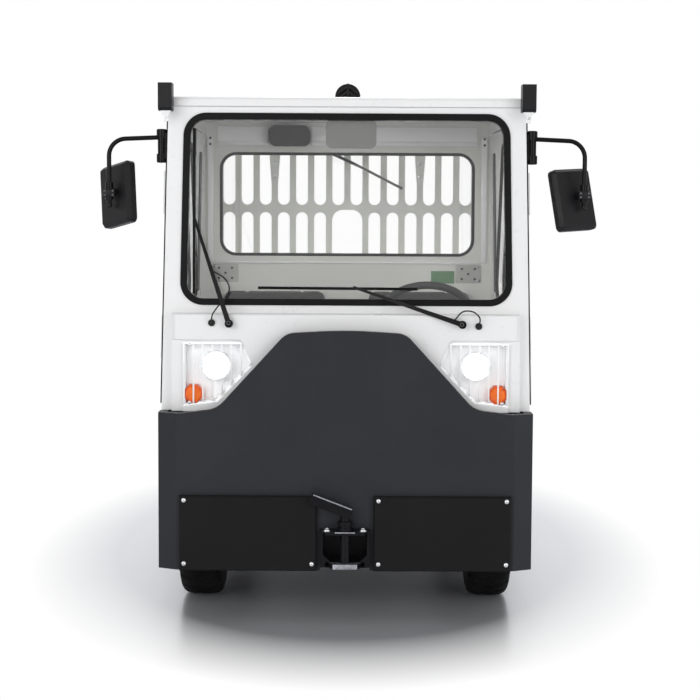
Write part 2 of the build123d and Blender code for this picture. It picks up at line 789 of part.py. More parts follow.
with BuildPart() as cab_side_left:
    with BuildSketch(side_plane):
        sill_front = front_wall_y(panel_low, wall) + seat_gap
        head_front = front_wall_y(cab_top_z, wall) + seat_gap
        Polygon(
            (sill_front, seat_gap),
            (cab_depth_inner_y - seat_gap, seat_gap),
            (cab_depth_inner_y - seat_gap, side_height - seat_gap),
            (head_front, side_height - seat_gap),
            align=None,
        )
        with BuildSketch(side_plane, mode=Mode.PRIVATE) as door_hole:
            Polygon(*door_outline, align=None)
            offset(amount=move_gap, kind=Kind.INTERSECTION)
        add(door_hole.sketch_local, mode=Mode.SUBTRACT)
    extrude(amount=-wall)
    for level in hinge_levels:
        for knuckle_level in (level - hinge_length, level + hinge_length):
            with BuildSketch(side_plane):
                with Locations((hinge_y - hinge_leaf / 2, knuckle_level)):
                    Rectangle(hinge_leaf, hinge_length - 2 * seat_gap)
            extrude(amount=hinge_out / 2)
            with BuildSketch(hinge_barrel(knuckle_level)):
                Circle(hinge_r)
            extrude(amount=hinge_length - 2 * seat_gap)

with BuildPart() as cab_sides:
    add(cab_side_left.part)
    mirror(about=Plane.YZ)
finish(cab_sides, "cab_sides")

with BuildPart() as door_left:
    with BuildSketch(side_plane):
        Polygon(*door_outline, align=None)
        with BuildSketch(side_plane, mode=Mode.PRIVATE) as window_hole:
            Polygon(*door_window, align=None)
            fillet(vertices(), door_window_corner)
        add(window_hole.sketch_local, mode=Mode.SUBTRACT)
    extrude(amount=-wall)
    for level in hinge_levels:
        with BuildSketch(side_plane):
            with Locations((hinge_y + hinge_leaf / 2 + 2, level)):
                Rectangle(hinge_leaf, hinge_length - 2 * seat_gap)
        extrude(amount=hinge_out / 2)
        with BuildSketch(hinge_barrel(level)):
            Circle(hinge_r)
        extrude(amount=hinge_length - 2 * seat_gap)
    with BuildSketch(side_plane):
        with Locations((door_rear_y - handle_from_edge, handle_level)):
            RectangleRounded(*handle_recess, handle_recess[1] / 4)
    extrude(amount=-handle_recess_depth, mode=Mode.SUBTRACT)
finish(door_left, "door_left")

with BuildPart() as door_right:
    mirror(door_left.part, about=Plane.YZ)
finish(door_right, "door_right")

with BuildPart() as door_glass_left:
    with BuildSketch(side_plane.offset(-(wall - glass_thickness) / 2)):
        Polygon(*door_window, align=None)
        fillet(vertices(), door_window_corner)
        offset(amount=-seat_gap)
    extrude(amount=-glass_thickness)
finish(door_glass_left, "door_glass_left")

with BuildPart() as door_glass_right:
    mirror(door_glass_left.part, about=Plane.YZ)
finish(door_glass_right, "door_glass_right")

# ---------------------------------------------------------------- cab rear wall and roof
rear_outline = [
    (-cab_half, panel_low),
    (cab_half, panel_low),
    (cab_top_half, cab_top_z),
    (-cab_top_half, cab_top_z),
]
with BuildPart() as cab_rear:
    with BuildSketch(rear_plane):
        Polygon(*rear_outline, align=None)
        with BuildSketch(rear_plane, mode=Mode.PRIVATE) as rear_hole:
            rear_corners = trapezoid(
                rear_window_half, rear_window_half, rear_window_low_z, rear_window_high_z, rubber_lap
            )
            Polygon(*rear_corners, align=None)
            fillet(vertices(), window_corner - rubber_lap)
        add(rear_hole.sketch_local, mode=Mode.SUBTRACT)
    extrude(amount=-wall)
finish(cab_rear, "cab_rear")

roof_front_y = front_wall_y(cab_top_z, 0) - roof_overhang
roof_side_overhang = 4.0
roof_rear_y = cab_rear_y + 10.0
roof_corner = 30.0
roof_edge_r = 14.0
with BuildPart() as roof:
    with BuildSketch(Plane.XY.offset(cab_top_z + seat_gap)):
        with Locations((0, (roof_front_y + roof_rear_y) / 2)):
            roof_width = 2 * (cab_top_half + roof_side_overhang)
            RectangleRounded(roof_width, roof_rear_y - roof_front_y, roof_corner)
    extrude(amount=roof_thickness)
    fillet(roof.faces().sort_by(Axis.Z)[-1].edges(), roof_edge_r)
finish(roof, "roof")

# ---------------------------------------------------------------- window rubbers and glass
screen_table = [
    # plane, half low, half high, low edge, high edge
    (screen_plane, screen_low_half, screen_high_half, up_screen(screen_low_z), up_screen(screen_high_z)),
    (rear_plane, rear_window_half, rear_window_half, rear_window_low_z, rear_window_high_z),
]


def window_face(plane, low_half, high_half, low, high, inset):
    """Rounded window outline on its wall's plane, drawn in by inset."""
    with BuildSketch(plane) as outline:
        Polygon(*trapezoid(low_half, high_half, low, high, inset), align=None)
        fillet(vertices(), max(window_corner - inset, 5))
    return outline.sketch


with BuildPart() as window_seals:
    for plane, low_half, high_half, low, high in screen_table:
        lip, web, inner = [
            window_face(plane, low_half, high_half, low, high, inset)
            for inset in (0, rubber_lap + seat_gap, rubber_width)
        ]
        extrude(lip - inner, amount=rubber_proud)
        extrude(web - inner, amount=-wall)
finish(window_seals, "window_seals")

glass_setback = (wall - glass_thickness) / 2
with BuildPart() as cab_glass:
    for plane, low_half, high_half, low, high in screen_table:
        pane_plane = plane.offset(-glass_setback)
        pane = window_face(pane_plane, low_half, high_half, low, high, rubber_width + seat_gap)
        extrude(pane, amount=-glass_thickness)
finish(cab_glass, "cab_glass")

# ---------------------------------------------------------------- guard behind the cab
grille_half = slot_columns / 2 * slot_pitch
slot_end_r = slot_width / 2 - 0.1
middle_slot_corner = 45.0
grille_corner = 40.0
# Tapered tabs over two of the bars: width at the head and the foot, low z
tab_bars = 4            # bars from the middle to each tab
tab_head = 55.0
tab_foot = slot_pitch - slot_width
tab_low_z = slot_rows[0][1] - 187.0
with BuildPart() as guard_grille:
    with BuildSketch(Plane.XZ.offset(-grille_y)):
        with Locations((0, (grille_bottom_z + grille_top_z) / 2)):
            RectangleRounded(2 * grille_half, grille_top_z - grille_bottom_z, grille_corner)
        for row, (low, high) in enumerate(slot_rows):
            for column in range(slot_columns):
                slot_x = (column + 0.5) * slot_pitch - grille_half
                beside_middle_slot = row == 1 and abs(slot_x) < slot_pitch
                if not beside_middle_slot:
                    with Locations((slot_x, (low + high) / 2)):
                        RectangleRounded(slot_width, high - low, slot_end_r, mode=Mode.SUBTRACT)
        middle_slot_low_z = slot_rows[1][0]
        middle_slot_height = middle_slot_top_z - middle_slot_low_z
        with Locations((0, middle_slot_low_z + middle_slot_height / 2)):
            RectangleRounded(middle_slot_width, middle_slot_height, middle_slot_corner, mode=Mode.SUBTRACT)
        for side in (-1, 1):
            tab_x = side * tab_bars * slot_pitch
            Polygon(
                (tab_x - tab_head / 2, slot_rows[0][1]),
                (tab_x - tab_foot / 2, tab_low_z),
                (tab_x + tab_foot / 2, tab_low_z),
                (tab_x + tab_head / 2, slot_rows[0][1]),
                align=None,
            )
    extrude(amount=grille_plate / 2, both=True)
finish(guard_grille, "guard_grille")

# Feet on the deck behind the plate, and stays from the cab's rear wall to the plate
guard_foot = (50.0, 12.0)       # across and along the machine
guard_foot_lap = 60.0
guard_stay = 24.0
guard_bracket_x = grille_half - 30.0
with BuildPart() as guard_stays:
    foot_low = deck_z + seat_gap
    foot_high = grille_bottom_z + guard_foot_lap
    foot_y = grille_y + grille_plate / 2 + seat_gap + guard_foot[1] / 2
    stay_front_y = cab_rear_y + seat_gap
    stay_rear_y = grille_y - grille_plate / 2 - seat_gap
    stay_y = (stay_front_y + stay_rear_y) / 2
    for bracket_x in (-guard_bracket_x, guard_bracket_x):
        with Locations((bracket_x, foot_y, (foot_low + foot_high) / 2)):
            Box(*guard_foot, foot_high - foot_low)
        with Locations((bracket_x, stay_y, grille_top_z - guard_stay)):
            Box(guard_stay, stay_rear_y - stay_front_y, guard_stay)
finish(guard_stays, "guard_stays")

# ---------------------------------------------------------------- inside the cab
dash_top = 1070.0
dash_low = 850.0
dash_rear_y = -1180.0
dash_half = floor_half - 20.0
dash_undercut = 60.0
dash_edge = 25.0
dash_slope = 40.0       # of the sloping edge, along the machine
binnacle_length = 100.0
binnacle_width = 240.0
binnacle_rise = 26.0
column_r = 28.0
column_length = 260.0
steering_tilt = 45.0
steering_axis = Vector(0, sin(radians(steering_tilt)), cos(radians(steering_tilt)))
steering_centre = Vector(steering_x, steering_y, steering_z)
hub_r = 45.0
hub_depth = 40.0
column_top = steering_centre - steering_axis * (hub_depth + seat_gap)
with BuildPart() as dashboard:
    with BuildSketch(Plane.YZ.offset(-dash_half)):
        Polygon(
            (front_wall_y(dash_low, wall) + seat_gap, dash_low),
            (dash_rear_y, dash_low + dash_undercut),
            (dash_rear_y, dash_top - dash_edge),
            (dash_rear_y - dash_slope, dash_top),
            (front_wall_y(dash_top, wall) + seat_gap, dash_top),
            align=None,
        )
    extrude(amount=2 * dash_half)
    with BuildSketch(Plane.YZ.offset(steering_x - binnacle_width / 2)):
        Polygon(
            (dash_rear_y, dash_top - dash_edge),
            (dash_rear_y - dash_slope, dash_top + binnacle_rise),
            (dash_rear_y - binnacle_length, dash_top),
            align=None,
        )
    extrude(amount=binnacle_width)
    with BuildSketch(Plane(origin=column_top, z_dir=-steering_axis)):
        Circle(column_r)
    extrude(amount=column_length)
finish(dashboard, "dashboard")

spoke_width = 26.0
spoke_thickness = 10.0
wheel_face = Plane(origin=steering_centre, x_dir=(1, 0, 0), z_dir=steering_axis)
rim_section = Plane(origin=steering_centre, x_dir=(1, 0, 0), z_dir=(0, -steering_axis.Z, steering_axis.Y))
rim_centre_r = steering_r - steering_rim_r
with BuildPart() as steering_wheel:
    with BuildSketch(wheel_face):
        Circle(hub_r)
    extrude(amount=-hub_depth)
    with BuildSketch(rim_section):
        with Locations((rim_centre_r, 0)):
            Circle(steering_rim_r)
    revolve(axis=Axis(steering_centre, steering_axis))
    with BuildSketch(wheel_face.offset(-steering_rim_r)):
        with PolarLocations(0, 3, start_angle=90):
            with Locations((rim_centre_r / 2, 0)):
                Rectangle(rim_centre_r, spoke_width)
    extrude(amount=spoke_thickness)
finish(steering_wheel, "steering_wheel")

# Hanging pedals on the bulkhead: x, pad's width, pad's height, pad's middle above the floor
pedal_table = [(60.0, 72.0, 60.0, 130.0), (178.0, 58.0, 110.0, 120.0)]
pedal_reach = 95.0      # pad's face behind the bulkhead
pedal_pad = 12.0
pedal_arm = (16.0, 10.0)
pedal_pivot_z = floor_top + 250.0
with BuildPart() as pedals:
    bulkhead_y = firewall_y + floor_thickness + seat_gap
    pad_front_y = bulkhead_y + pedal_reach - pedal_pad
    for pedal_x, pad_width, pad_height, pad_rise in pedal_table:
        pad_z = floor_top + pad_rise
        with Locations((pedal_x, pad_front_y + pedal_pad / 2, pad_z)):
            Box(pad_width, pedal_pad, pad_height)
        arm = plane_along((pedal_x, bulkhead_y, pedal_pivot_z), (pedal_x, pad_front_y, pad_z), (0, 1, 1))
        arm_length = hypot(pad_front_y - bulkhead_y, pedal_pivot_z - pad_z)
        with BuildSketch(arm):
            with Locations((arm_length / 2 + pedal_pad / 4, 0)):
                Rectangle(arm_length + pedal_pad / 2, pedal_arm[0])
        extrude(amount=pedal_arm[1])
        with Locations((pedal_x, bulkhead_y + pedal_pad, pedal_pivot_z)):
            Box(2 * pedal_arm[0], 2 * pedal_pad, 2 * pedal_arm[0])
    split(bisect_by=Plane.XZ.offset(-bulkhead_y), keep=Keep.BOTTOM)
finish(pedals, "pedals")

seat_base_front = arch_back_y + 10.0
seat_base_rear = cab_depth_inner_y - 12.0
seat_base_margin = 20.0
seat_base_low = floor_top + seat_gap
with BuildPart() as seat_base:
    with Locations((0, (seat_base_front + seat_base_rear) / 2, (seat_base_low + seat_base_top) / 2)):
        Box(
            2 * seat_x + seat_width + 2 * seat_base_margin,
            seat_base_rear - seat_base_front,
            seat_base_top - seat_base_low,
        )
finish(seat_base, "seat_base")

cushion_front_y = -760.0
cushion_rear_y = -335.0
back_thickness = 90.0
back_top_z = 1105.0
back_recline = 8.0
back_low_z = seat_base_top + seat_gap + back_thickness * sin(radians(back_recline))
back_height = (back_top_z - back_low_z) / cos(radians(back_recline))
cushion_corner = 60.0
cushion_edge = 20.0
back_corner = 90.0
cushion_to_back = 4.0
with BuildPart() as seat_cushions:
    with BuildSketch(Plane.XY.offset(seat_base_top + seat_gap)):
        with Locations((seat_x, (cushion_front_y + cushion_rear_y) / 2)):
            RectangleRounded(seat_width, cushion_rear_y - cushion_front_y, cushion_corner)
    extrude(amount=cushion_thickness)
    chamfer(seat_cushions.faces().sort_by(Axis.Z)[-1].edges(), cushion_edge)
    mirror(about=Plane.YZ)
finish(seat_cushions, "seat_cushions")

back_plane = Plane(
    origin=(seat_x, cushion_rear_y + cushion_to_back, back_low_z),
    x_dir=(1, 0, 0),
    z_dir=(0, -cos(radians(back_recline)), sin(radians(back_recline))),
)
with BuildPart() as seat_backs:
    with BuildSketch(back_plane):
        with Locations((0, back_height / 2)):
            Rectangle(seat_width, back_height)
        fillet(vertices().group_by(Axis.Y)[-1], back_corner)
    extrude(amount=-back_thickness)
    chamfer(seat_backs.faces().sort_by(Axis.Y)[0].edges(), cushion_edge)
    mirror(about=Plane.YZ)
finish(seat_backs, "seat_backs")

# Driving mirror behind the windscreen, on a stalk from the wall above it
mirror_x = 14.0
mirror_drop = 92.0      # middle of the mirror below the cab's top
mirror_width = 178.0
mirror_height = 100.0
mirror_depth = 22.0
mirror_corner = 22.0
mirror_wall_gap = 9.0
stalk_drop = 22.0
stalk_section = (22.0, 16.0)        # across and up
mirror_z = cab_top_z - mirror_drop
stalk_z = cab_top_z - stalk_drop
mirror_front_y = front_wall_y(mirror_z, wall) + mirror_wall_gap
with BuildPart() as interior_mirror:
    with BuildSketch(Plane.XZ.offset(-mirror_front_y)):
        with Locations((mirror_x, mirror_z)):
            RectangleRounded(mirror_width, mirror_height, mirror_corner)
    extrude(amount=-mirror_depth)
    stalk_y = front_wall_y(stalk_z + stalk_section[1] / 2, wall) + seat_gap
    stalk_rear_y = mirror_front_y + mirror_depth
    with Locations((mirror_x, (stalk_y + stalk_rear_y) / 2, stalk_z)):
        Box(stalk_section[0], stalk_rear_y - stalk_y, stalk_section[1])
    with Locations((mirror_x, stalk_rear_y - mirror_depth / 4, (mirror_z + stalk_z) / 2)):
        Box(stalk_section[0], mirror_depth / 2, stalk_z - mirror_z)
finish(interior_mirror, "interior_mirror")

# ---------------------------------------------------------------- lamps
headlamp_x = 453.0
headlamp_z = 890.0
headlamp_r = 52.0
headlamp_ring = 4.0
headlamp_bowl_depth = 30.0
lamp_setback = 5.0      # of the lamps' faces behind the recess they look out of
headlamp_face_y = recess_face_y + lamp_setback
lamp_length = pocket_back_y - seat_gap - headlamp_face_y
with BuildPart() as headlamps:
    with BuildSketch(Plane.XZ.offset(-headlamp_face_y)):
        with Locations((headlamp_x, headlamp_z)):
            Circle(headlamp_r)
    extrude(amount=-lamp_length)
    with BuildSketch(Plane.XZ.offset(-headlamp_face_y)):
        with Locations((headlamp_x, headlamp_z)):
            Circle(headlamp_r - headlamp_ring)
    extrude(amount=-headlamp_bowl_depth, taper=45, mode=Mode.SUBTRACT)
    mirror(about=Plane.YZ)
finish(headlamps, "headlamps")

with BuildPart() as indicators:
    with BuildSketch(Plane.XZ.offset(-headlamp_face_y)):
        add(indicator_outline(1, 0))
    extrude(amount=-lamp_length)
    mirror(about=Plane.YZ)
finish(indicators, "indicators")

with BuildPart() as lamp_covers:
    with BuildSketch(Plane.XZ.offset(-(recess_face_y - seat_gap))):
        Polygon(*cover_corners, align=None)
    extrude(amount=cover_thickness)
    mirror(about=Plane.YZ)
finish(lamp_covers, "lamp_covers")

# ---------------------------------------------------------------- mirrors on the cab's front corners
post_out = 26.0         # of the posts outside the cab's top edge
post_r = 18.0
post_waist_r = 14.0
post_cap = 28.0
post_height = 112.0
post_drop = 81.0        # of the posts' tops below the cab's top
post_setback = 28.0     # of the posts behind the windscreen wall's outer face
post_foot = (30.0, 90.0, 12.0)      # along the cab, up it and out of it
arm_r = 8.0
arm_drop = 26.0         # of the arms below the posts' tops
arm_fall = 8.0          # of each arm over its run outwards
arm_reach = 185.0
arm_length = 240.0
arm_bend = 60.0
collar_r = 14.0
collar_low = 22.0       # above the arm's foot
collar_high = 82.0
head_width = 164.0
head_height = 220.0
head_depth = 36.0
head_corner = 18.0
head_edge = 14.0        # depth of the shell's sloping back
head_taper = 40.0
head_boss_r = 11.0
post_x = cab_top_half + post_out
post_high = cab_top_z - post_drop
post_low = post_high - post_height
post_y = front_wall_y(post_high, post_setback)
arm_z = post_high - arm_drop
arm_drop_x = post_x + arm_reach
arm_foot_z = arm_z - arm_length
with BuildPart() as mirror_arms:
    for low, high, radius in (
        (post_low, post_low + post_cap, post_r),
        (post_low + post_cap, post_high - post_cap, post_waist_r),
        (post_high - post_cap, post_high, post_r),
    ):
        with BuildSketch(Plane.XY.offset(low)):
            with Locations((post_x, post_y)):
                Circle(radius)
        extrude(amount=high - low)
    post_middle_z = (post_low + post_high) / 2
    with BuildSketch(side_plane):
        with Locations((post_y, (post_middle_z - cab_base_z) / cos(lean_angle))):
            Rectangle(post_foot[0], post_foot[1])
    extrude(amount=post_foot[2])
    foot_x = side_x(post_middle_z) + post_foot[2] / 2
    with Locations(((foot_x + post_x) / 2, post_y, post_middle_z)):
        Box(post_x - foot_x, post_waist_r, post_height - post_cap)
    with BuildLine():
        FilletPolyline(
            (post_x, post_y, arm_z),
            (arm_drop_x, post_y, arm_z - arm_fall),
            (arm_drop_x, post_y, arm_foot_z),
            radius=arm_bend,
        )
    with BuildSketch(Plane(origin=(post_x, post_y, arm_z), z_dir=(arm_reach, 0, -arm_fall))):
        Circle(arm_r)
    sweep()
    with BuildSketch(Plane.XY.offset(arm_foot_z + collar_low)):
        with Locations((arm_drop_x, post_y)):
            Circle(collar_r)
    extrude(amount=collar_high - collar_low)
    mirror(about=Plane.YZ)
finish(mirror_arms, "mirror_arms")

# Heads as their driver has set them: side, middle inside the arm's drop, middle above the arm's foot,
# middle behind the arm, turn towards the cab's right, tilt of the shell upwards, roll
head_table = [
    (1, 25.0, 33.0, 16.0, 30.0, 11.9, 3.0),
    (-1, 12.0, 41.0, 20.0, -45.0, 5.8, 11.0),
]
with BuildPart() as mirror_heads:
    for side, inside, above, behind, turn, tilt, roll in head_table:
        centre = Vector(side * (arm_drop_x - inside), post_y + behind, arm_foot_z + above)
        shell_dir = Vector(
            sin(radians(turn)) * cos(radians(tilt)),
            -cos(radians(turn)) * cos(radians(tilt)),
            sin(radians(tilt)),
        )
        level = Vector(cos(radians(turn)), sin(radians(turn)), 0)
        across = level * cos(radians(roll)) + shell_dir.cross(level) * sin(radians(roll))
        rim = Plane(origin=centre - shell_dir * head_edge, x_dir=across, z_dir=shell_dir)
        with BuildSketch(rim) as head_outline:
            RectangleRounded(head_width, head_height, head_corner)
        extrude(amount=-(head_depth - head_edge))
        extrude(head_outline.sketch, amount=head_edge, taper=head_taper)
        clamp = Vector(side * arm_drop_x, post_y, arm_foot_z + (collar_low + collar_high) / 2)
        boss_length = (clamp - centre).dot(shell_dir)
        with BuildSketch(Plane(origin=clamp - shell_dir * boss_length, z_dir=shell_dir)):
            Circle(head_boss_r)
        extrude(amount=boss_length)
        with BuildSketch(Plane.XY.offset(arm_foot_z + collar_low - head_boss_r)):
            with Locations((side * arm_drop_x, post_y)):
                Circle(collar_r + seat_gap)
        extrude(amount=collar_high - collar_low + 2 * head_boss_r, mode=Mode.SUBTRACT)
finish(mirror_heads, "mirror_heads")

# ---------------------------------------------------------------- roof corner housings and work lamp
housing_out = 27.0      # beyond the cab's top edge
housing_width = 48.0
housing_drop = 19.0     # below the cab's top
housing_height = 95.0
housing_depth = 66.0
housing_chamfer = 10.0
housing_x = cab_top_half + housing_out - housing_width / 2
housing_z = cab_top_z - housing_drop + housing_height / 2
with BuildPart() as corner_housings:
    with BuildSketch(Plane.XZ.offset(-(roof_front_y - seat_gap))):
        with Locations((housing_x, housing_z)):
            Rectangle(housing_width, housing_height)
    extrude(amount=housing_depth)
    low_front = corner_housings.edges().filter_by(Axis.X).group_by(Axis.Z)[0].sort_by(Axis.Y)[0]
    chamfer(low_front, housing_chamfer)
    mirror(about=Plane.YZ)
finish(corner_housings, "corner_housings")

work_lamp_r = 52.0
work_lamp_setback = 78.0        # in front of the cab's rear face
work_lamp_drum = 34.0
work_lamp_back = 24.0
work_lamp_stand = 21.0
fin_rows = 4
fin_pitch = 22.0
fin_width = 9.0
fin_slope = 38.0
stand_section = (30.0, 34.0)    # across and along the machine
work_lamp_z = roof_top_z + seat_gap + work_lamp_stand + work_lamp_r
work_lamp_y = cab_rear_y - work_lamp_setback
with BuildPart() as work_lamp:
    with BuildSketch(Plane.XZ.offset(-work_lamp_y)):
        with Locations((0, work_lamp_z)):
            Circle(work_lamp_r)
    extrude(amount=-work_lamp_drum)
    # Cooling fins on the lamp's back fall away to both sides from its middle
    with BuildSketch(Plane.XZ.offset(-work_lamp_y)):
        with Locations((0, work_lamp_z)):
            for row in range(fin_rows):
                rise = work_lamp_r - fin_width - row * fin_pitch
                for side in (-1, 1):
                    with Locations(Location((0, rise, 0), (0, 0, -side * fin_slope))):
                        with Locations((side * work_lamp_r / 2, 0)):
                            Rectangle(work_lamp_r, fin_width)
            Rectangle(fin_width, 2 * work_lamp_r)
            Circle(work_lamp_r, mode=Mode.INTERSECT)
    extrude(amount=work_lamp_back)
    stand_low = roof_top_z + seat_gap
    with Locations((0, work_lamp_y + work_lamp_drum / 2, (stand_low + work_lamp_z) / 2)):
        Box(*stand_section, work_lamp_z - stand_low)
finish(work_lamp, "work_lamp")

# ---------------------------------------------------------------- wipers and washer hoses
spindle_r = 14.0
spindle_height = 32.0
arm_root = 18.0
arm_tip = 9.0
wiper_arm_thickness = 8.0
arm_tip_lift = 14.0     # of the arm's underside over the wall's outer face
blade_width = 10.0
blade_top = arm_tip_lift + 4.0


def bar(plane, start, end, width):
    """Outline of a flat bar on a plane from start to end."""
    length = hypot(end[0] - start[0], end[1] - start[1])
    turn = degrees(atan2(end[1] - start[1], end[0] - start[0]))
    middle = ((start[0] + end[0]) / 2, (start[1] + end[1]) / 2)
    with BuildSketch(plane) as outline:
        with Locations(Location((middle[0], middle[1], 0), (0, 0, turn))):
            Rectangle(length + width, width)
    return outline.sketch


# The front spindles stand square to the raked wall, their feet trimmed to the nose's upright face
wiper_seat = (front_wall_y(wiper_z, 0) - nose_face_y) * cos(rake_angle) - spindle_r * sin(rake_angle)
# Each wiper, in its wall's plane: plane, height of the spindle's foot over the wall, spindle, arm's tip,
# blade's two ends
wiper_table = [
    (
        screen_plane,
        wiper_seat,
        (-405.0, up_screen(wiper_z)),
        (-531.0, up_screen(1405.0)),
        (-531.0, up_screen(1142.0)),
        (-531.0, up_screen(1708.0)),
    ),
    (
        screen_plane,
        wiper_seat,
        (402.0, up_screen(wiper_z)),
        (25.0, up_screen(1164.0)),
        (-303.0, up_screen(1160.0)),
        (244.0, up_screen(1158.0)),
    ),
    (
        rear_plane,
        0.0,
        (170.0, rear_window_high_z + 36.0),
        (-100.0, rear_window_high_z - 91.0),
        (-10.0, rear_window_high_z - 47.0),
        (-227.0, rear_window_high_z - 158.0),
    ),
]


def arm_plane(row):
    """Plane of a wiper arm's underside, from its root along the arm, and the arm's length."""
    plane, foot, spindle, tip = row[:4]
    start = plane.from_local_coords(Vector(*spindle, foot + spindle_height - wiper_arm_thickness))
    end = plane.from_local_coords(Vector(*tip, arm_tip_lift))
    return plane_along(start, end, plane.z_dir), (end - start).length


with BuildPart() as wipers:
    for row in wiper_table:
        plane, foot, spindle, tip, blade_start, blade_end = row
        underside, arm_run = arm_plane(row)
        with BuildSketch(underside):
            Polygon(
                (0, -arm_root / 2),
                (arm_run, -arm_tip / 2),
                (arm_run, arm_tip / 2),
                (0, arm_root / 2),
                align=None,
            )
        extrude(amount=wiper_arm_thickness)
        blade_foot = seat_gap - glass_setback
        blade = bar(plane.offset(blade_foot), blade_start, blade_end, blade_width)
        extrude(blade, amount=blade_top - blade_foot)
        with BuildSketch(plane.offset(foot + seat_gap)):
            with Locations(spindle):
                Circle(spindle_r)
        extrude(amount=spindle_height)
    with Locations((0, nose_face_y - seat_gap + spindle_height / 2, (panel_low + nose_top_z) / 2)):
        Box(2 * nose_half, spindle_height, nose_top_z - panel_low, mode=Mode.SUBTRACT)
finish(wipers, "wipers")


def bend_radii(points):
    """Radius at each corner of a hose's route, as large as the runs beside it allow."""
    radii = []
    for before, corner, after in zip(points, points[1:], points[2:]):
        run_in = Vector(*corner) - Vector(*before)
        run_out = Vector(*after) - Vector(*corner)
        half_turn = radians(run_in.get_angle(run_out)) / 2
        radii.append(0.45 * min(run_in.length, run_out.length) / tan(half_turn))
    return radii


hose_r = 2.5
grommet_r = 12.0
grommet_height = 8.0
# Each hose from its grommet on the nose to its wiper's arm: the wiper, the two fractions of the arm's
# length between which the hose lies under it, and the way there as x, behind the nose's face, z
hose_routes = [
    (wiper_table[0], 0.50, 0.58, [
        (-466.0, -4.0, 1041.0),
        (-466.0, -24.0, 1045.0),
        (-463.0, -24.0, 1070.0),
        (-444.0, 18.0, 1100.0),
        (-416.0, 32.0, 1126.0),
        (-404.0, 33.0, 1160.0),
        (-420.0, 28.0, 1194.0),
    ]),
    (wiper_table[1], 0.08, 0.16, [
        (460.0, -4.0, 1033.0),
        (460.0, -22.0, 1037.0),
        (465.0, -23.0, 1062.0),
        (442.0, -19.0, 1086.0),
        (402.0, -14.0, 1088.0),
    ]),
]
with BuildPart() as washer_hoses:
    for row, meets, ends, route in hose_routes:
        points = [(x, nose_face_y + behind, z) for x, behind, z in route]
        underside, arm_run = arm_plane(row)
        for fraction in (meets, ends):
            points.append(underside.from_local_coords(Vector(fraction * arm_run, 0, -hose_r - seat_gap)))
        with BuildSketch(Plane.XZ.offset(-(nose_face_y - seat_gap))):
            with Locations((points[0][0], points[0][2])):
                Circle(grommet_r)
        extrude(amount=grommet_height)
        with BuildLine() as hose_line:
            FilletPolyline(*points, radius=bend_radii(points))
        with BuildSketch(Plane(origin=hose_line.line @ 0, z_dir=hose_line.line % 0)):
            Circle(hose_r)
        sweep(path=hose_line.line)
finish(washer_hoses, "washer_hoses")

# Motor of the rear wiper, inside on the wall above the rear window
motor_half_length = 85.0
motor_height = 84.0
motor_depth = 70.0
motor_over_window = 13.0
rear_spindle = wiper_table[-1][2]
motor_z = rear_window_high_z + motor_height / 2 + motor_over_window
with BuildPart() as wiper_motor:
    motor_plane = rear_plane.offset(-(wall + seat_gap))
    with BuildSketch(motor_plane):
        with Locations((rear_spindle[0] + motor_half_length - spindle_r, motor_z)):
            RectangleRounded(2 * motor_half_length, motor_height, motor_height / 3)
    extrude(amount=-motor_depth)
finish(wiper_motor, "wiper_motor")

# ---------------------------------------------------------------- rear body, side panels and battery
body_length = body_rear_y - body_front_y
body_middle_y = (body_front_y + body_rear_y) / 2
body_middle_z = (body_bottom_z + deck_z) / 2
body_edge_r = 30.0
lid_lap = 20.0          # of the lid on the deck round its hole
tread_plate = 4.0
tread_margin = 30.0
liner_thickness = 6.0
liner_reach = rear_tyre_width + 40.0
liner_low_z = 350.0

with BuildPart() as rear_body:
    with Locations((0, body_middle_y, body_middle_z)):
        Box(2 * (body_half - body_wall - seat_gap), body_length, deck_z - body_bottom_z)
    fillet(rear_body.edges().filter_by(Axis.X).group_by(Axis.Z)[-1].sort_by(Axis.Y)[-1], body_edge_r)
    with Locations((0, body_middle_y, body_middle_z - body_wall)):
        Box(2 * body_half, body_length - 2 * body_wall, deck_z - body_bottom_z, mode=Mode.SUBTRACT)
    with Locations((0, (lid_front_y + lid_rear_y) / 2, deck_z)):
        hatch_length = lid_rear_y - lid_front_y - 2 * lid_lap
        Box(2 * (lid_half - lid_lap), hatch_length, 4 * body_wall, mode=Mode.SUBTRACT)
    with Locations((0, body_front_y, body_bottom_z)):
        Box(
            2 * rail_x + rail_width + 2 * move_gap,
            4 * body_wall,
            2 * (rail_top - body_bottom_z + move_gap),
            mode=Mode.SUBTRACT,
        )
    tread_front_y = lid_rear_y + tread_margin
    tread_rear_y = body_rear_y - body_edge_r - tread_margin
    with Locations((0, (tread_front_y + tread_rear_y) / 2, deck_z + tread_plate / 2)):
        Box(2 * lid_half, tread_rear_y - tread_front_y, tread_plate)
finish(rear_body, "rear_body")

with BuildPart() as body_sides:
    with BuildSketch(Plane.YZ.offset(body_half - body_wall)):
        with Locations((body_middle_y, body_middle_z)):
            Rectangle(body_length, deck_z - body_bottom_z)
        fillet(vertices().group_by(Axis.Y)[-1].sort_by(Axis.X)[-1], body_edge_r)
        with Locations((rear_axle_y, rear_tyre_r)):
            Circle(rear_arch_r, mode=Mode.SUBTRACT)
    extrude(amount=body_wall)
    with BuildSketch(Plane.YZ.offset(body_half)):
        with Locations((rear_axle_y, rear_tyre_r)):
            Circle(rear_arch_r + liner_thickness)
            Circle(rear_arch_r, mode=Mode.SUBTRACT)
        with Locations((rear_axle_y, liner_low_z - rear_arch_r)):
            Rectangle(3 * rear_arch_r, 2 * rear_arch_r, mode=Mode.SUBTRACT)
    extrude(amount=-liner_reach)
    mirror(about=Plane.YZ)
finish(body_sides, "body_sides")

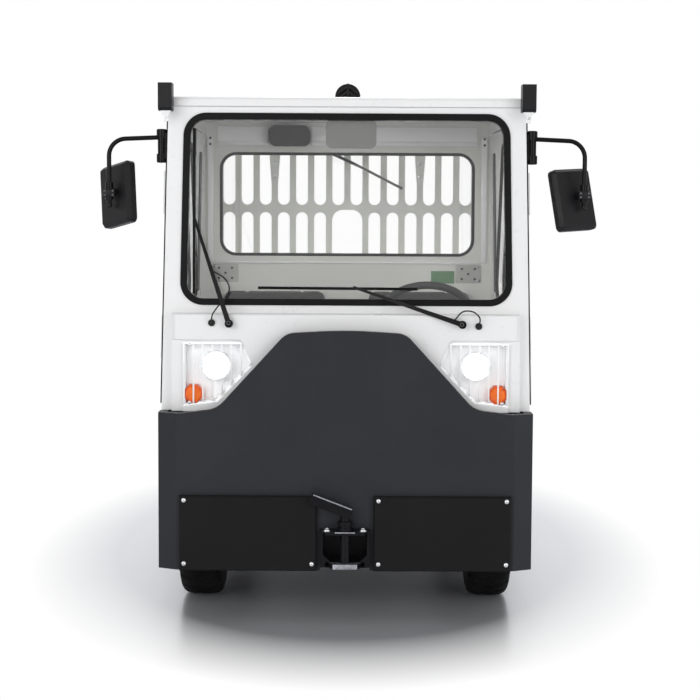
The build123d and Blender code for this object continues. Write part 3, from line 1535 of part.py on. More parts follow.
battery_half = 400.0
battery_end_gap = 40.0      # inside the lid's ends
battery_headroom = 30.0
battery_low = rear_rail_top + seat_gap
battery_high = deck_z - battery_headroom
with BuildPart() as battery:
    with Locations((0, (lid_front_y + lid_rear_y) / 2, (battery_low + battery_high) / 2)):
        Box(2 * battery_half, lid_rear_y - lid_front_y - 2 * battery_end_gap, battery_high - battery_low)
finish(battery, "battery")

lid_edge_r = 8.0
lid_grip = (120.0, 40.0, 3.5)       # pressing near the lid's free edge: across, along and deep
with BuildPart() as battery_lid:
    with BuildSketch(Plane.XY.offset(deck_z + seat_gap)):
        with Locations((0, (lid_front_y + lid_rear_y) / 2)):
            Rectangle(2 * lid_half, lid_rear_y - lid_front_y)
    extrude(amount=lid_thickness)
    fillet(battery_lid.faces().sort_by(Axis.Z)[-1].edges(), lid_edge_r)
    with BuildSketch(Plane.XY.offset(deck_z + seat_gap + lid_thickness)):
        with Locations((0, lid_rear_y - 2 * lid_grip[1])):
            RectangleRounded(lid_grip[0], lid_grip[1], lid_grip[1] / 3)
    extrude(amount=-lid_grip[2], mode=Mode.SUBTRACT)
finish(battery_lid, "battery_lid")

rear_bumper_half = body_half - 40.0
rear_bumper_low = 240.0
rear_bumper_high = 560.0
rear_bumper_corner = 20.0
with BuildPart() as rear_bumper:
    with BuildSketch(Plane.XZ.offset(-(body_rear_y + seat_gap))):
        with Locations((0, (rear_bumper_low + rear_bumper_high) / 2)):
            RectangleRounded(2 * rear_bumper_half, rear_bumper_high - rear_bumper_low, rear_bumper_corner)
    extrude(amount=-rear_bumper_plate)
finish(rear_bumper, "rear_bumper")

rear_lamp_inset = 80.0      # of the lamps' middles from the body's sides
rear_lamp_drop = 140.0      # below the deck
rear_lamp = (62.0, 120.0, 22.0)     # across, high and deep
rear_lamp_edge = 5.0
with BuildPart() as rear_lamps:
    with BuildSketch(Plane.XZ.offset(-(body_rear_y + seat_gap))):
        with Locations((body_half - rear_lamp_inset, deck_z - rear_lamp_drop)):
            Rectangle(rear_lamp[0], rear_lamp[1])
    extrude(amount=-rear_lamp[2])
    chamfer(rear_lamps.faces().sort_by(Axis.Y)[-1].edges(), rear_lamp_edge)
    mirror(about=Plane.YZ)
finish(rear_lamps, "rear_lamps")

# Rear coupling: two open jaws one above the other, with one drop pin through both
rear_hitch_face = body_rear_y + rear_bumper_plate + 2 * seat_gap
rear_hitch_half = 90.0
rear_hitch_wall = 20.0
rear_hitch_reach = 98.0
rear_hitch_low = 235.0
rear_hitch_high = 455.0
jaw_table = [(270.0, 330.0), (360.0, 420.0)]       # low z, high z
rear_pin_setback = 38.0
rear_pin_stand = 15.0       # of the pin above the coupling
rear_hitch_chamfer = 25.0
with BuildPart() as rear_hitch:
    with BuildSketch(Plane.XY.offset(rear_hitch_low)):
        with Locations((0, rear_hitch_face + rear_hitch_reach / 2)):
            Rectangle(2 * rear_hitch_half, rear_hitch_reach)
        chamfer(vertices().group_by(Axis.Y)[-1], rear_hitch_chamfer)
    extrude(amount=rear_hitch_high - rear_hitch_low)
    for low, high in jaw_table:
        with Locations((0, rear_hitch_face + rear_hitch_reach / 2 + rear_hitch_wall, (low + high) / 2)):
            Box(2 * (rear_hitch_half - rear_hitch_wall), rear_hitch_reach, high - low, mode=Mode.SUBTRACT)
    with BuildSketch(Plane.XY.offset(rear_hitch_low)):
        with Locations((0, rear_hitch_face + rear_hitch_reach - rear_pin_setback)):
            Circle(pin_r)
    extrude(amount=rear_hitch_high + rear_pin_stand - rear_hitch_low)
finish(rear_hitch, "rear_hitch")
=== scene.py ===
import itertools
import json
import math

import bmesh
import bpy
from mathutils import Matrix, Vector

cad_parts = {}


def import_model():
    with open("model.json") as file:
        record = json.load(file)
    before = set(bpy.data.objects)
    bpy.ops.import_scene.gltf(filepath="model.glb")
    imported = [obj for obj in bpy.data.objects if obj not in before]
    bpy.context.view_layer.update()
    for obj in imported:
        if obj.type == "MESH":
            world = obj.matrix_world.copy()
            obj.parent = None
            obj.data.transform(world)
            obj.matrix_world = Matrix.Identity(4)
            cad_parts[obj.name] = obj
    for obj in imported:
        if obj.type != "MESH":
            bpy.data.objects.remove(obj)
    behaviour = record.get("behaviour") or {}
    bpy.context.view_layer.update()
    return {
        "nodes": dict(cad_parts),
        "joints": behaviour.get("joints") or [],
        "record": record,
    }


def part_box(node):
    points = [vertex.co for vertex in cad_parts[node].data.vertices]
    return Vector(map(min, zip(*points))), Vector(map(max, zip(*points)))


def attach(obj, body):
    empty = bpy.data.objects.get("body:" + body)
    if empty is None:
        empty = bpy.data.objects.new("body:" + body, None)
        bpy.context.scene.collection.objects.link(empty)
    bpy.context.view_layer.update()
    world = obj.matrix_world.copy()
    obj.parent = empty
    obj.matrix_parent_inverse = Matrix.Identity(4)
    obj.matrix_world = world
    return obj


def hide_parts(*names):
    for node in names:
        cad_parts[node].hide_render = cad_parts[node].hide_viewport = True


# The looks of the airport baggage tug, in metres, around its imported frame.
# The tug faces -Y, +X is its left side, +Z is up and the ground is at z = 0.
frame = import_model()

MM = 0.001
CHASSIS = "chassis"
SIDES = {1: "left", -1: "right"}
FORWARD, BACKWARD = (0, -1, 0), (0, 1, 0)
UP, DOWN, LEFT = (0, 0, 1), (0, 0, -1), (1, 0, 0)


def mm(*numbers):
    """Millimetres as metres, for numbers or for points of several numbers."""
    return tuple(mm(*number) if isinstance(number, tuple) else number * MM for number in numbers)


# ------------------------------------------------------------ places read from the frame
def points(node, keep=lambda place: True):
    """Vertices of a node that keep picks."""
    return [v.co for v in frame["nodes"][node].data.vertices if keep(v.co)]


def side_box(node, side):
    """Lowest and highest corners of what a node has on one side: 1 for +X, -1 for -X."""
    places = points(node, lambda place: place.x * side > 0)
    return (Vector([min(place[axis] for place in places) for axis in range(3)]),
            Vector([max(place[axis] for place in places) for axis in range(3)]))


def joint(name):
    """Place and axis of a joint, as vectors."""
    found = next(j for j in frame["joints"] if j["name"] == name)
    return Vector(found["pos_m"]), Vector(found["axis"]).normalized()


# ------------------------------------------------------------ materials
CLOUD_LOW, CLOUD_HIGH = 0.3, 0.7        # most of a noise texture lies between these
GRAIN_DEPTH = 0.4 * MM
COAT_ROUGHNESS = 0.08


def srgb(red, green, blue):
    """A colour given as 0-255 sRGB, as linear RGBA."""
    shares = [value / 255 for value in (red, green, blue)]
    return tuple(s / 12.92 if s <= 0.04045 else ((s + 0.055) / 1.055) ** 2.4 for s in shares) + (1.0,)


def shade(colour, factor):
    """A colour made darker or lighter by a factor."""
    return tuple(min(value * factor, 1.0) for value in colour[:3]) + (1.0,)


class Nodes:
    """The nodes of a new material or world with its main shader, and short ways to add to them."""

    def __init__(self, made, main="Principled BSDF"):
        made.use_nodes = True
        self.made = made
        self.tree = made.node_tree
        self.shader = self.tree.nodes[main]
        self.place = self.add("ShaderNodeTexCoord", "Object")

    def add(self, kind, output, inputs=None, **attributes):
        """Adds a node with its attributes and inputs and returns one of its outputs."""
        node = self.tree.nodes.new(kind)
        for name, value in attributes.items():
            setattr(node, name, value)
        self.put(node, inputs or {})
        return node.outputs[output]

    def put(self, node, inputs):
        """Sets a node's inputs, or links those that are given another node's output."""
        for name, value in inputs.items():
            if isinstance(value, bpy.types.NodeSocket):
                self.tree.links.new(value, node.inputs[name])
            else:
                node.inputs[name].default_value = value

    def noise(self, scale, detail=3.0):
        """Cloud pattern over the object's own coordinates."""
        return self.add("ShaderNodeTexNoise", 0, {"Scale": scale, "Detail": detail, "Vector": self.place})

    def cells(self, scale, feature):
        """Cell pattern over the object's own coordinates."""
        return self.add("ShaderNodeTexVoronoi", "Distance", {"Scale": scale, "Vector": self.place}, feature=feature)

    def ramp(self, factor, stops):
        """Colours against a factor: stops are (place, colour)."""
        colours = self.add("ShaderNodeValToRGB", "Color", {"Fac": factor})
        elements = colours.node.color_ramp.elements
        for index, (place, colour) in enumerate(stops):
            element = elements[index] if index < 2 else elements.new(place)
            element.position = place
            element.color = colour
        return colours

    def mottled(self, colour, dark, light, scale):
        """A colour that drifts between a darker and a lighter shade."""
        return self.ramp(self.noise(scale), [(CLOUD_LOW, shade(colour, dark)), (CLOUD_HIGH, shade(colour, light))])

    def spread(self, scale, low, high):
        """Noise stretched from low to high."""
        return self.add("ShaderNodeMapRange", "Result", {
            "Value": self.noise(scale), "From Min": CLOUD_LOW, "From Max": CLOUD_HIGH, "To Min": low, "To Max": high})

    def bump(self, height, strength, depth, edge=0.0):
        """Bump from a height pattern, over edges rounded by the given radius."""
        inputs = {"Strength": strength, "Distance": depth, "Height": height}
        if edge:
            inputs["Normal"] = self.add("ShaderNodeBevel", "Normal", {"Radius": edge}, samples=4)
        self.put(self.shader, {"Normal": self.add("ShaderNodeBump", "Normal", inputs)})

    def mix(self, share, first, second):
        """Two shaders mixed: none of the second at share 0."""
        return self.add("ShaderNodeMixShader", "Shader", {0: share, 1: first, 2: second})

    def either(self, first, second):
        """The greater of two values."""
        return self.add("ShaderNodeMath", "Value", {0: first, 1: second}, operation="MAXIMUM")

    def rays(self):
        """What kind of ray is looking, as outputs."""
        return self.add("ShaderNodeLightPath", 0).node.outputs

    def end(self, shader):
        """Makes a shader the material's surface."""
        self.put(self.tree.nodes["Material Output"], {"Surface": shader})


def surface(name, colour, roughness, metallic=0.0, coat=0.0, mottle=0.06, mottle_scale=5.0,
            grain=0.05, grain_scale=500.0, gloss_spread=0.05, edge=0.0, specular=0.5):
    """Paint, plastic, rubber or metal: a faint mottle in colour and gloss, and a fine grain as bump."""
    made = Nodes(bpy.data.materials.new(name))
    made.put(made.shader, {
        "Base Color": made.mottled(colour, 1 - mottle, 1 + mottle, mottle_scale),
        "Roughness": made.spread(mottle_scale * 4, roughness - gloss_spread, roughness + gloss_spread),
        "Metallic": metallic, "Coat Weight": coat, "Coat Roughness": COAT_ROUGHNESS, "Specular IOR Level": specular})
    made.bump(made.noise(grain_scale, 2.0), grain, GRAIN_DEPTH, edge)
    return made.made


def vinyl(name, colour):
    """Grained seat vinyl: small cells with creases between them."""
    made = Nodes(bpy.data.materials.new(name))
    made.put(made.shader, {"Base Color": made.mottled(colour, 0.85, 1.2, 9.0),
                           "Roughness": made.spread(30.0, 0.42, 0.58)})
    made.bump(made.cells(420.0, "DISTANCE_TO_EDGE"), 0.35, 0.6 * MM)
    return made.made


def clear(name, tint, roughness=0.0, ripple=0.01, ripple_scale=8.0, ior=1.45):
    """Clear glass or plastic that lets the lamps through."""
    made = Nodes(bpy.data.materials.new(name))
    made.put(made.shader, {"Base Color": tint, "Transmission Weight": 1.0, "IOR": ior,
                           "Roughness": made.spread(20.0, roughness, roughness + 0.02)})
    made.bump(made.noise(ripple_scale, 1.0), ripple, 2 * MM)
    through = made.add("ShaderNodeBsdfTransparent", "BSDF", {"Color": tint})
    made.end(made.mix(made.rays()["Is Shadow Ray"], made.shader.outputs["BSDF"], through))
    return made.made


def lens(name, colour, glow=0.0):
    """Coloured lamp lens with moulded prisms, lit from inside if it glows."""
    made = Nodes(bpy.data.materials.new(name))
    prisms = made.cells(260.0, "F1")
    made.put(made.shader, {
        "Base Color": made.ramp(prisms, [(0.0, shade(colour, 1.25)), (0.6, colour), (1.0, shade(colour, 0.6))]),
        "Roughness": made.spread(40.0, 0.12, 0.2), "Specular IOR Level": 0.2,
        "Emission Color": colour, "Emission Strength": glow})
    made.bump(prisms, 0.4, 1.5 * MM)
    return made.made


# Materials of the slots
FINISHES = {
    "frame_steel": surface("chassis_black", srgb(30, 30, 32), 0.5, mottle=0.15, edge=0.0015, specular=0.3),
    "bright_steel": surface("zinc_steel", srgb(170, 172, 174), 0.35, metallic=0.9, grain_scale=900.0),
    "bumper_paint": surface("anthracite_paint", srgb(42, 43, 47), 0.42, mottle=0.08, grain=0.16, grain_scale=700.0,
        edge=0.003, specular=0.2),
    "pad_rubber": surface("pad_rubber", srgb(24, 23, 24), 0.6, grain=0.2, grain_scale=350.0, edge=0.002,
        specular=0.12),
    "hitch_steel": surface("hitch_black", srgb(20, 20, 23), 0.32, mottle=0.2, edge=0.002, specular=0.12),
    "cab_inner": surface("cab_grey", srgb(92, 93, 94), 0.5, mottle=0.08, grain=0.2),
    "cab_white": surface("gloss_white", srgb(244, 244, 244), 0.28, coat=0.4, mottle=0.003, grain=0.03,
        grain_scale=160.0, gloss_spread=0.008, edge=0.003),
    "window_rubber": surface("window_rubber", srgb(13, 13, 14), 0.45, mottle=0.1, grain=0.1, edge=0.003,
        specular=0.12),
    "window_glass": clear("window_glass", (0.985, 0.988, 0.984, 1.0)),
    "guard_grey": surface("guard_grey", srgb(222, 222, 216), 0.45, mottle=0.03, grain=0.1),
    "cab_plastic": surface("grained_plastic", srgb(28, 28, 30), 0.52, mottle=0.08, grain=0.35, grain_scale=800.0,
        edge=0.002, specular=0.3),
    "seat_vinyl": vinyl("seat_vinyl", srgb(30, 30, 32)),
    "lamp_reflector": surface("reflector", srgb(225, 226, 228), 0.08, metallic=1.0, mottle=0.02),
    "amber_lens": lens("amber_lens", srgb(206, 78, 4), 0.08),
    "red_lens": lens("red_lens", srgb(150, 16, 14), 0.03),
    "lamp_cover": clear("lamp_cover", (0.985, 0.99, 0.995, 1.0), 0.02, 0.05, 60.0, 1.15),
    "arm_black": surface("arm_black", srgb(10, 10, 11), 0.25, mottle=0.1, grain=0.06, specular=0.12),
    "mirror_plastic": surface("mirror_plastic", srgb(22, 22, 24), 0.42, mottle=0.08, grain=0.3, grain_scale=900.0,
        edge=0.003, specular=0.2),
    "hose_rubber": surface("hose_rubber", srgb(20, 20, 21), 0.45, mottle=0.1, grain=0.1, specular=0.3),
    "battery_case": surface("battery_case", srgb(70, 73, 76), 0.5, mottle=0.1, edge=0.003),
    "tyre_rubber": surface("tyre_rubber", srgb(16, 16, 17), 0.72, mottle=0.25, mottle_scale=12.0, grain=0.3,
        grain_scale=300.0, specular=0.12),
    "rim_paint": surface("rim_silver", srgb(172, 174, 177), 0.38, metallic=0.5, mottle=0.08, edge=0.002),
}
# Slot and material of pieces that look unlike the rest of their slot
DETAILS = {
    "bolt": ("bright_steel", surface("bolt_steel", srgb(205, 206, 208), 0.25, metallic=1.0, mottle=0.1, grain=0.1)),
    "dark_bolt": ("bright_steel", surface("dark_bolt", srgb(96, 96, 98), 0.35, metallic=0.9, mottle=0.1)),
    # Bright steel strips on the coupling: painted highlight on edges and faces that catch the light, over some real
    # wear.
    "highlight_and_wear_steel": ("hitch_steel", surface("highlight_and_wear_steel", srgb(150, 150, 156), 0.38, metallic=0.8, mottle=0.25,
        mottle_scale=60.0)),
    # Near-black discs painted as the shade inside empty bolt holes.
    "hole_shade_black": ("hitch_steel", surface("hole_shade_black", srgb(4, 4, 4), 0.8, specular=0.02)),
    "mirror_glass": ("mirror_plastic", surface("mirror_glass", srgb(235, 238, 240), 0.02, metallic=1.0, mottle=0.01,
        grain=0.005, gloss_spread=0.01)),
    "plate_green": ("cab_white", surface("plate_green", srgb(92, 138, 96), 0.4)),
    "plate_grey": ("cab_white", surface("plate_grey", srgb(178, 177, 172), 0.4, metallic=0.3, mottle=0.05)),
    "headlight": ("lamp_reflector", lens("headlight", srgb(255, 255, 255), 5.0)),
    # Lighter amber for the lens prisms: painted highlight.
    "amber_prism_highlight": ("amber_lens", lens("amber_prism_highlight", srgb(240, 130, 30), 0.1)),
    # Opaque white ribs over the clear lamp cover: painted highlight of its clear ribs.
    "cover_rib_highlight": ("lamp_cover", surface("cover_rib_highlight", srgb(250, 250, 250), 0.2, coat=0.5, mottle=0.01)),
    "cover_flute": ("lamp_cover", clear("cover_flute", (0.98, 0.985, 0.99, 1.0), 0.08, 0.02, 200.0, 1.12)),
}
# Materials of nodes that look unlike the rest of their slot
SPECIAL = {
    "interior_mirror": surface("mirror_back", srgb(86, 86, 84), 0.45, mottle=0.05, grain=0.2, grain_scale=900.0),
    # The rear wall gets a darker, warmer copy of the cab's white: painted shade.
    "cab_rear": surface("wall_white_painted_shade", srgb(226, 226, 220), 0.45, mottle=0.006, grain=0.05),
}

for part in frame["record"]["subparts"]:
    materials = frame["nodes"][part["node"]].data.materials
    materials.clear()
    materials.append(SPECIAL.get(part["node"], FINISHES[part["material_slot"]]))


# ------------------------------------------------------------ making pieces
class Shape:
    """A mesh being made up of simple forms, which then becomes one piece."""

    def __init__(self):
        self.mesh = bmesh.new()

    def box(self, centre, size, round_edge=0.0, turn=None):
        """Box with rounded edges, turned by a rotation matrix if given."""
        corners = bmesh.ops.create_cube(self.mesh, size=1.0)["verts"]
        bmesh.ops.scale(self.mesh, vec=Vector(size), verts=corners)
        if round_edge:
            edges = list({edge for corner in corners for edge in corner.link_edges})
            bevelled = bmesh.ops.bevel(self.mesh, geom=edges, offset=round_edge, segments=2,
                                       profile=0.5, affect="EDGES")
            corners = list({v for face in bevelled["faces"] for v in face.verts}
                           | {v for v in corners if v.is_valid})
        if turn:
            bmesh.ops.rotate(self.mesh, matrix=turn, verts=corners)
        bmesh.ops.translate(self.mesh, vec=Vector(centre), verts=corners)
        return self

    def join(self, rings, closed=False):
        """Faces between each ring of vertices and the next; a ring may be a single vertex."""
        for ring, following in zip(rings, rings[1:] + rings[:1] if closed else rings[1:]):
            for step in range(max(len(ring), len(following))):
                quad = [ring[step % len(ring)], ring[(step + 1) % len(ring)],
                        following[(step + 1) % len(following)], following[step % len(following)]]
                corners = list(dict.fromkeys(quad))
                if len(corners) > 2:
                    self.mesh.faces.new(corners)
        return self

    def turned(self, base, axis, profile, segments=24, start=0.0):
        """Closed turned form: profile lists (radius, place along the axis) from one end to the other."""
        turn = Vector(UP).rotation_difference(Vector(axis).normalized()).to_matrix()
        rings = []
        for radius, rise in profile:
            rings.append([])
            for step in range(1 if radius == 0 else segments):
                angle = math.radians(start) + 2 * math.pi * step / segments
                place = turn @ Vector((radius * math.cos(angle), radius * math.sin(angle), rise))
                rings[-1].append(self.mesh.verts.new(Vector(base) + place))
        return self.join(rings)

    def slab(self, outline, thickness, matrix):
        """Flat plate with the given outline, extruded up from the matrix's plane."""
        low, high = ([self.mesh.verts.new(matrix @ Vector((x, y, z))) for x, y in outline] for z in (0, thickness))
        self.mesh.faces.new(list(reversed(low)))
        self.mesh.faces.new(high)
        return self.join([low, high])

    def tube(self, places, radius, segments=10, closed=False):
        """Round rod along the runs between places, with its corners mitred."""
        rings = []
        places = [Vector(place) for place in places]
        count = len(places)
        across = None
        for index, place in enumerate(places):
            before = places[index - 1] if closed or index else place
            after = places[(index + 1) % count] if closed or index < count - 1 else place
            ahead = (after - before).normalized()
            across = ahead.orthogonal() if across is None else across - ahead * across.dot(ahead)
            across.normalize()
            up = ahead.cross(across)
            rings.append([
                self.mesh.verts.new(place + radius * (across * math.cos(a) + up * math.sin(a)))
                for a in (2 * math.pi * step / segments for step in range(segments))
            ])
        self.join(rings, closed)
        if not closed:
            self.mesh.faces.new(list(reversed(rings[0])))
            self.mesh.faces.new(rings[-1])
        return self

    def bolts(self, xs, ys, zs, *bolt):
        """Dome bolts at every crossing of places along x, y and z."""
        for place in itertools.product(xs, ys, zs):
            dome_bolt(self, place, *bolt)
        return self

    def mirrored(self, side):
        """Turned over to the other side of the tug where side is -1."""
        if side < 0:
            for vertex in self.mesh.verts:
                vertex.co.x = -vertex.co.x
        return self

    def piece(self, name, look, body=CHASSIS, smooth=35.0):
        """Ends the mesh as a named piece that rides on a body; look is a slot or one of the DETAILS."""
        slot, material = DETAILS.get(look) or (look, FINISHES[look])
        bmesh.ops.remove_doubles(self.mesh, verts=self.mesh.verts, dist=1e-6)
        bmesh.ops.recalc_face_normals(self.mesh, faces=self.mesh.faces)
        data = bpy.data.meshes.new(name)
        self.mesh.to_mesh(data)
        self.mesh.free()
        data.materials.append(material)
        made = bpy.data.objects.new(name, data)
        bpy.context.scene.collection.objects.link(made)
        data.shade_smooth()
        data.set_sharp_from_angle(angle=math.radians(smooth))
        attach(made, body)
        return made


def along(first, last, count):
    """Evenly spaced values from one end to the other."""
    return [first + (last - first) * step / (count - 1) for step in range(count)]


def frame_matrix(origin, x_dir, z_dir):
    """Matrix of a plane from its origin, its local x and its normal."""
    z_axis = Vector(z_dir).normalized()
    x_axis = (Vector(x_dir) - z_axis * Vector(x_dir).dot(z_axis)).normalized()
    matrix = Matrix((x_axis, z_axis.cross(x_axis), z_axis)).transposed().to_4x4()
    matrix.translation = Vector(origin)
    return matrix


def dome_bolt(shape, base, axis, radius, washer=1.5, segments=20):
    """Dome-headed bolt on its washer, with a socket in the head."""
    height = radius * 0.7
    shape.turned(base, axis, [(0, 0), (radius * washer, 0), (radius * washer, 1.5 * MM), (radius, 2 * MM),
                              (radius * 0.95, height * 0.5), (radius * 0.7, height * 0.9),
                              (radius * 0.42, height), (radius * 0.38, height * 0.6), (0, height * 0.6)],
                 segments)


def hex_bolt(shape, base, axis, radius):
    """Hexagon head on a round washer."""
    washer, head = 2 * MM, radius * 0.8
    shape.turned(base, axis, [(0, 0), (radius * 1.25, 0), (radius * 1.25, washer), (0, washer)], 20)
    shape.turned(Vector(base) + Vector(axis).normalized() * washer, axis,
                 [(0, 0), (radius, 0), (radius, radius * 0.65), (head, head), (0, head)], 6)


def circle(centre, radius, count):
    """Evenly spaced places round a circle in an upright plane across the tug."""
    for step in range(count):
        angle = 2 * math.pi * step / count
        yield centre + Vector((radius * math.cos(angle), 0, radius * math.sin(angle)))


# ------------------------------------------------------------ tyres and wheel nuts
TREAD_PITCHES = 30          # lugs round a tyre
TREAD_DEPTH = 8 * MM
SEGMENTS_PER_PITCH = 12
BEAD_GAP = 0.3 * MM         # between a tyre's bead and its rim
HUB_R = 60 * MM
NUT_CIRCLE = 48 * MM
NUTS = 5


def tyre_section(radius, width, rim_radius):
    """Points across a tyre from bead to bead: place along the axle, radius, share of tread."""
    half = width / 2
    waist = rim_radius + 0.45 * (radius - rim_radius)
    wall = [(half * (0.78 + 0.22 * math.sin(share * math.pi / 2)), rim_radius + (waist - rim_radius) * share, 0.0)
            for share in along(0, 1, 6)[:-1]]
    section = [(-reach, out, tread) for reach, out, tread in wall]
    for angle in along(-90, 90, 33):
        sine, cosine = math.sin(math.radians(angle)), math.cos(math.radians(angle))
        across = math.copysign(abs(sine) ** 0.45, sine) * half
        out = waist + (radius - waist) * abs(cosine) ** 0.45
        section.append((across, out, min(max((out - (radius - 0.03)) / 0.02, 0.0), 1.0)))
    return section + wall[::-1]


def tread_cut(across, turn):
    """How deep the tread is cut, 0 to 1: staggered side lugs and a wavy middle groove."""
    pitch = (turn + 0.5 * (across > 0) + 0.35 * abs(across)) % 1.0
    wave = 0.10 * (2 * abs((turn % 1.0) * 2 - 1) - 1)
    return 1.0 if pitch < 0.3 and abs(across) > 0.2 or abs(across - wave) < 0.07 else 0.0


def wheel_details(name):
    """Tyre with lugs, in place of its plain solid, and the ring of nuts on the wheel's disc."""
    low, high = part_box("tyre_" + name)
    rim_low, rim_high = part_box("rim_" + name)
    centre = (low + high) / 2
    width = high.x - low.x
    section = tyre_section((high.z - low.z) / 2, width, (rim_high.z - rim_low.z) / 2 + BEAD_GAP)
    steps = TREAD_PITCHES * SEGMENTS_PER_PITCH
    shape, rings = Shape(), []
    for step in range(steps):
        angle = 2 * math.pi * step / steps
        rings.append([])
        for across, out, tread in section:
            reach = out - TREAD_DEPTH * tread * tread_cut(across / (width / 2), step / SEGMENTS_PER_PITCH)
            place = Vector((across, -reach * math.sin(angle), reach * math.cos(angle)))
            rings[-1].append(shape.mesh.verts.new(centre + place))
    made = shape.join(rings, closed=True).piece("tread_tyre_" + name, "tyre_rubber", "wheel_" + name, smooth=50.0)
    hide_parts("tyre_" + name)

    centre = (rim_low + rim_high) / 2
    side = 1 if centre.x > 0 else -1
    hub = points("rim_" + name, lambda place: math.hypot(place.y - centre.y, place.z - centre.z) < HUB_R)
    hub_face = max(side * place.x for place in hub)
    nuts = Shape()
    for angle in (2 * math.pi * step / NUTS for step in range(NUTS)):
        place = (side * hub_face, centre.y + NUT_CIRCLE * math.sin(angle), centre.z + NUT_CIRCLE * math.cos(angle))
        hex_bolt(nuts, place, (side, 0, 0), 9 * MM)
    nuts.piece("wheel_nuts_" + name, "bolt", "wheel_" + name)


for wheel in ("front_left", "front_right", "rear_left", "rear_right"):
    wheel_details(wheel)


# ------------------------------------------------------------ seats
PAD_CORNER = 28 * MM
PAD_PUFF = 7 * MM               # how far the padding is blown out
PAD_CHANNELS = (0.24, 0.76)     # places of the sewn channels, as shares of the width
CHANNEL_HALF = 12 * MM
CHANNEL_DEPTH = 5 * MM
BACK_LEAN = math.radians(8)
BACK_THICKNESS = 90 * MM
PUFF_STEPS = 20


def inflate(piece, pressure, limit):
    """Puffs a closed pad with cloth simulation and keeps every point within the limit."""
    start = [v.co.copy() for v in piece.data.vertices]
    cloth = piece.modifiers.new("Cloth", "CLOTH")
    for name, value in {"quality": 4, "mass": 0.35, "tension_stiffness": 18.0, "compression_stiffness": 18.0,
                        "bending_stiffness": 1.5, "use_pressure": True, "uniform_pressure_force": pressure}.items():
        setattr(cloth.settings, name, value)
    cloth.settings.effector_weights.gravity = 0.0
    cloth.point_cache.frame_start, cloth.point_cache.frame_end = 1, PUFF_STEPS
    for step in range(1, PUFF_STEPS + 1):
        bpy.context.scene.frame_set(step)
    solved = piece.evaluated_get(bpy.context.evaluated_depsgraph_get()).data
    places = [v.co.copy() for v in solved.vertices]
    piece.modifiers.remove(cloth)
    for vertex, before, after in zip(piece.data.vertices, start, places):
        move = after - before
        vertex.co = before + move * min(1.0, limit / max(move.length, 1e-9))
    bpy.context.scene.frame_set(1)


def pad(name, low, high, lean=None):
    """Padded vinyl form in the space between two corners, drawn in by its puff and then blown out to it."""
    shape = Shape().box((low + high) / 2, high - low - Vector((2, 2, 2)) * PAD_PUFF, PAD_CORNER)
    if lean is not None:
        bmesh.ops.transform(shape.mesh, matrix=lean, verts=shape.mesh.verts)
    made = shape.piece(name, "seat_vinyl", smooth=180.0)
    remesh = made.modifiers.new("Remesh", "REMESH")
    remesh.mode = "VOXEL"
    remesh.voxel_size = 6 * MM
    bpy.context.view_layer.update()
    solid = bpy.data.meshes.new_from_object(made.evaluated_get(bpy.context.evaluated_depsgraph_get()))
    made.modifiers.clear()
    made.data = solid
    inflate(made, 4.0, PAD_PUFF)
    for channel in PAD_CHANNELS:
        for vertex in made.data.vertices:
            gap = abs(vertex.co.x - (low.x + channel * (high.x - low.x)))
            if gap < CHANNEL_HALF:
                share = 0.5 + 0.5 * math.cos(math.pi * gap / CHANNEL_HALF)
                vertex.co -= vertex.normal * CHANNEL_DEPTH * share
    made.data.shade_smooth()
    return made


for side, hand in SIDES.items():
    cushion = pad("seat_pad_" + hand, *side_box("seat_cushions", side))
    low, high = side_box("seat_backs", side)
    pivot = Vector((0, low.y + BACK_THICKNESS, low.z))
    lean_back = Matrix.Translation(pivot) @ Matrix.Rotation(-BACK_LEAN, 4, "X") @ Matrix.Translation(-pivot)
    back = pad("seat_back_pad_" + hand, low, Vector((high.x, low.y + BACK_THICKNESS, high.z)), lean_back)
    if side == 1:
        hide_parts("seat_cushions")
        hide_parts("seat_backs")


# ------------------------------------------------------------ places on flat and leaning plates
def outline_of(node, keep):
    """Points of a convex outline, x and z, in order round its middle, from a node's vertices that keep picks."""
    found = {(round(place.x, 5), round(place.z, 5)) for place in points(node, keep)}
    middle_x = sum(x for x, z in found) / len(found)
    middle_z = sum(z for x, z in found) / len(found)
    return sorted(found, key=lambda place: math.atan2(place[1] - middle_z, place[0] - middle_x))


def height_range(outline, x):
    """Lowest and highest place of a convex outline at x."""
    crossings = []
    for (x0, z0), (x1, z1) in zip(outline, outline[1:] + outline[:1]):
        if min(x0, x1) <= x <= max(x0, x1) and x0 != x1:
            crossings.append(z0 + (z1 - z0) * (x - x0) / (x1 - x0))
    return min(crossings), max(crossings)


def rounded(width, height, radius):
    """Outline of a rounded rectangle about its middle."""
    outline = []
    for corner_x, corner_y, first in ((1, 1, 0), (-1, 1, 90), (-1, -1, 180), (1, -1, 270)):
        for angle in along(first, first + 90, 5):
            outline.append((corner_x * (width / 2 - radius) + radius * math.cos(math.radians(angle)),
                            corner_y * (height / 2 - radius) + radius * math.sin(math.radians(angle))))
    return outline


def flat_ring(inner, outer, height):
    """Profile of a flat ring that stands off a face."""
    return [(inner, 0), (outer, 0), (outer, height), (inner, height), (inner, 0)]


def rectangle(x0, y0, x1, y1):
    """Outline between two corners."""
    return [(x0, y0), (x1, y0), (x1, y1), (x0, y1)]


cab_low, cab_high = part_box("cab_rear")
CAB_FOOT_X = max(place.x for place in points("cab_rear", lambda place: place.z < cab_low.z + 1 * MM))
CAB_HEAD_X = max(place.x for place in points("cab_rear", lambda place: place.z > cab_high.z - 1 * MM))
CAB_LEAN = (CAB_FOOT_X - CAB_HEAD_X) / (cab_high.z - cab_low.z)
SIDE_UP = Vector((-CAB_LEAN, 0, 1)).normalized()
SIDE_OUT = Vector((SIDE_UP.z, 0, -SIDE_UP.x))


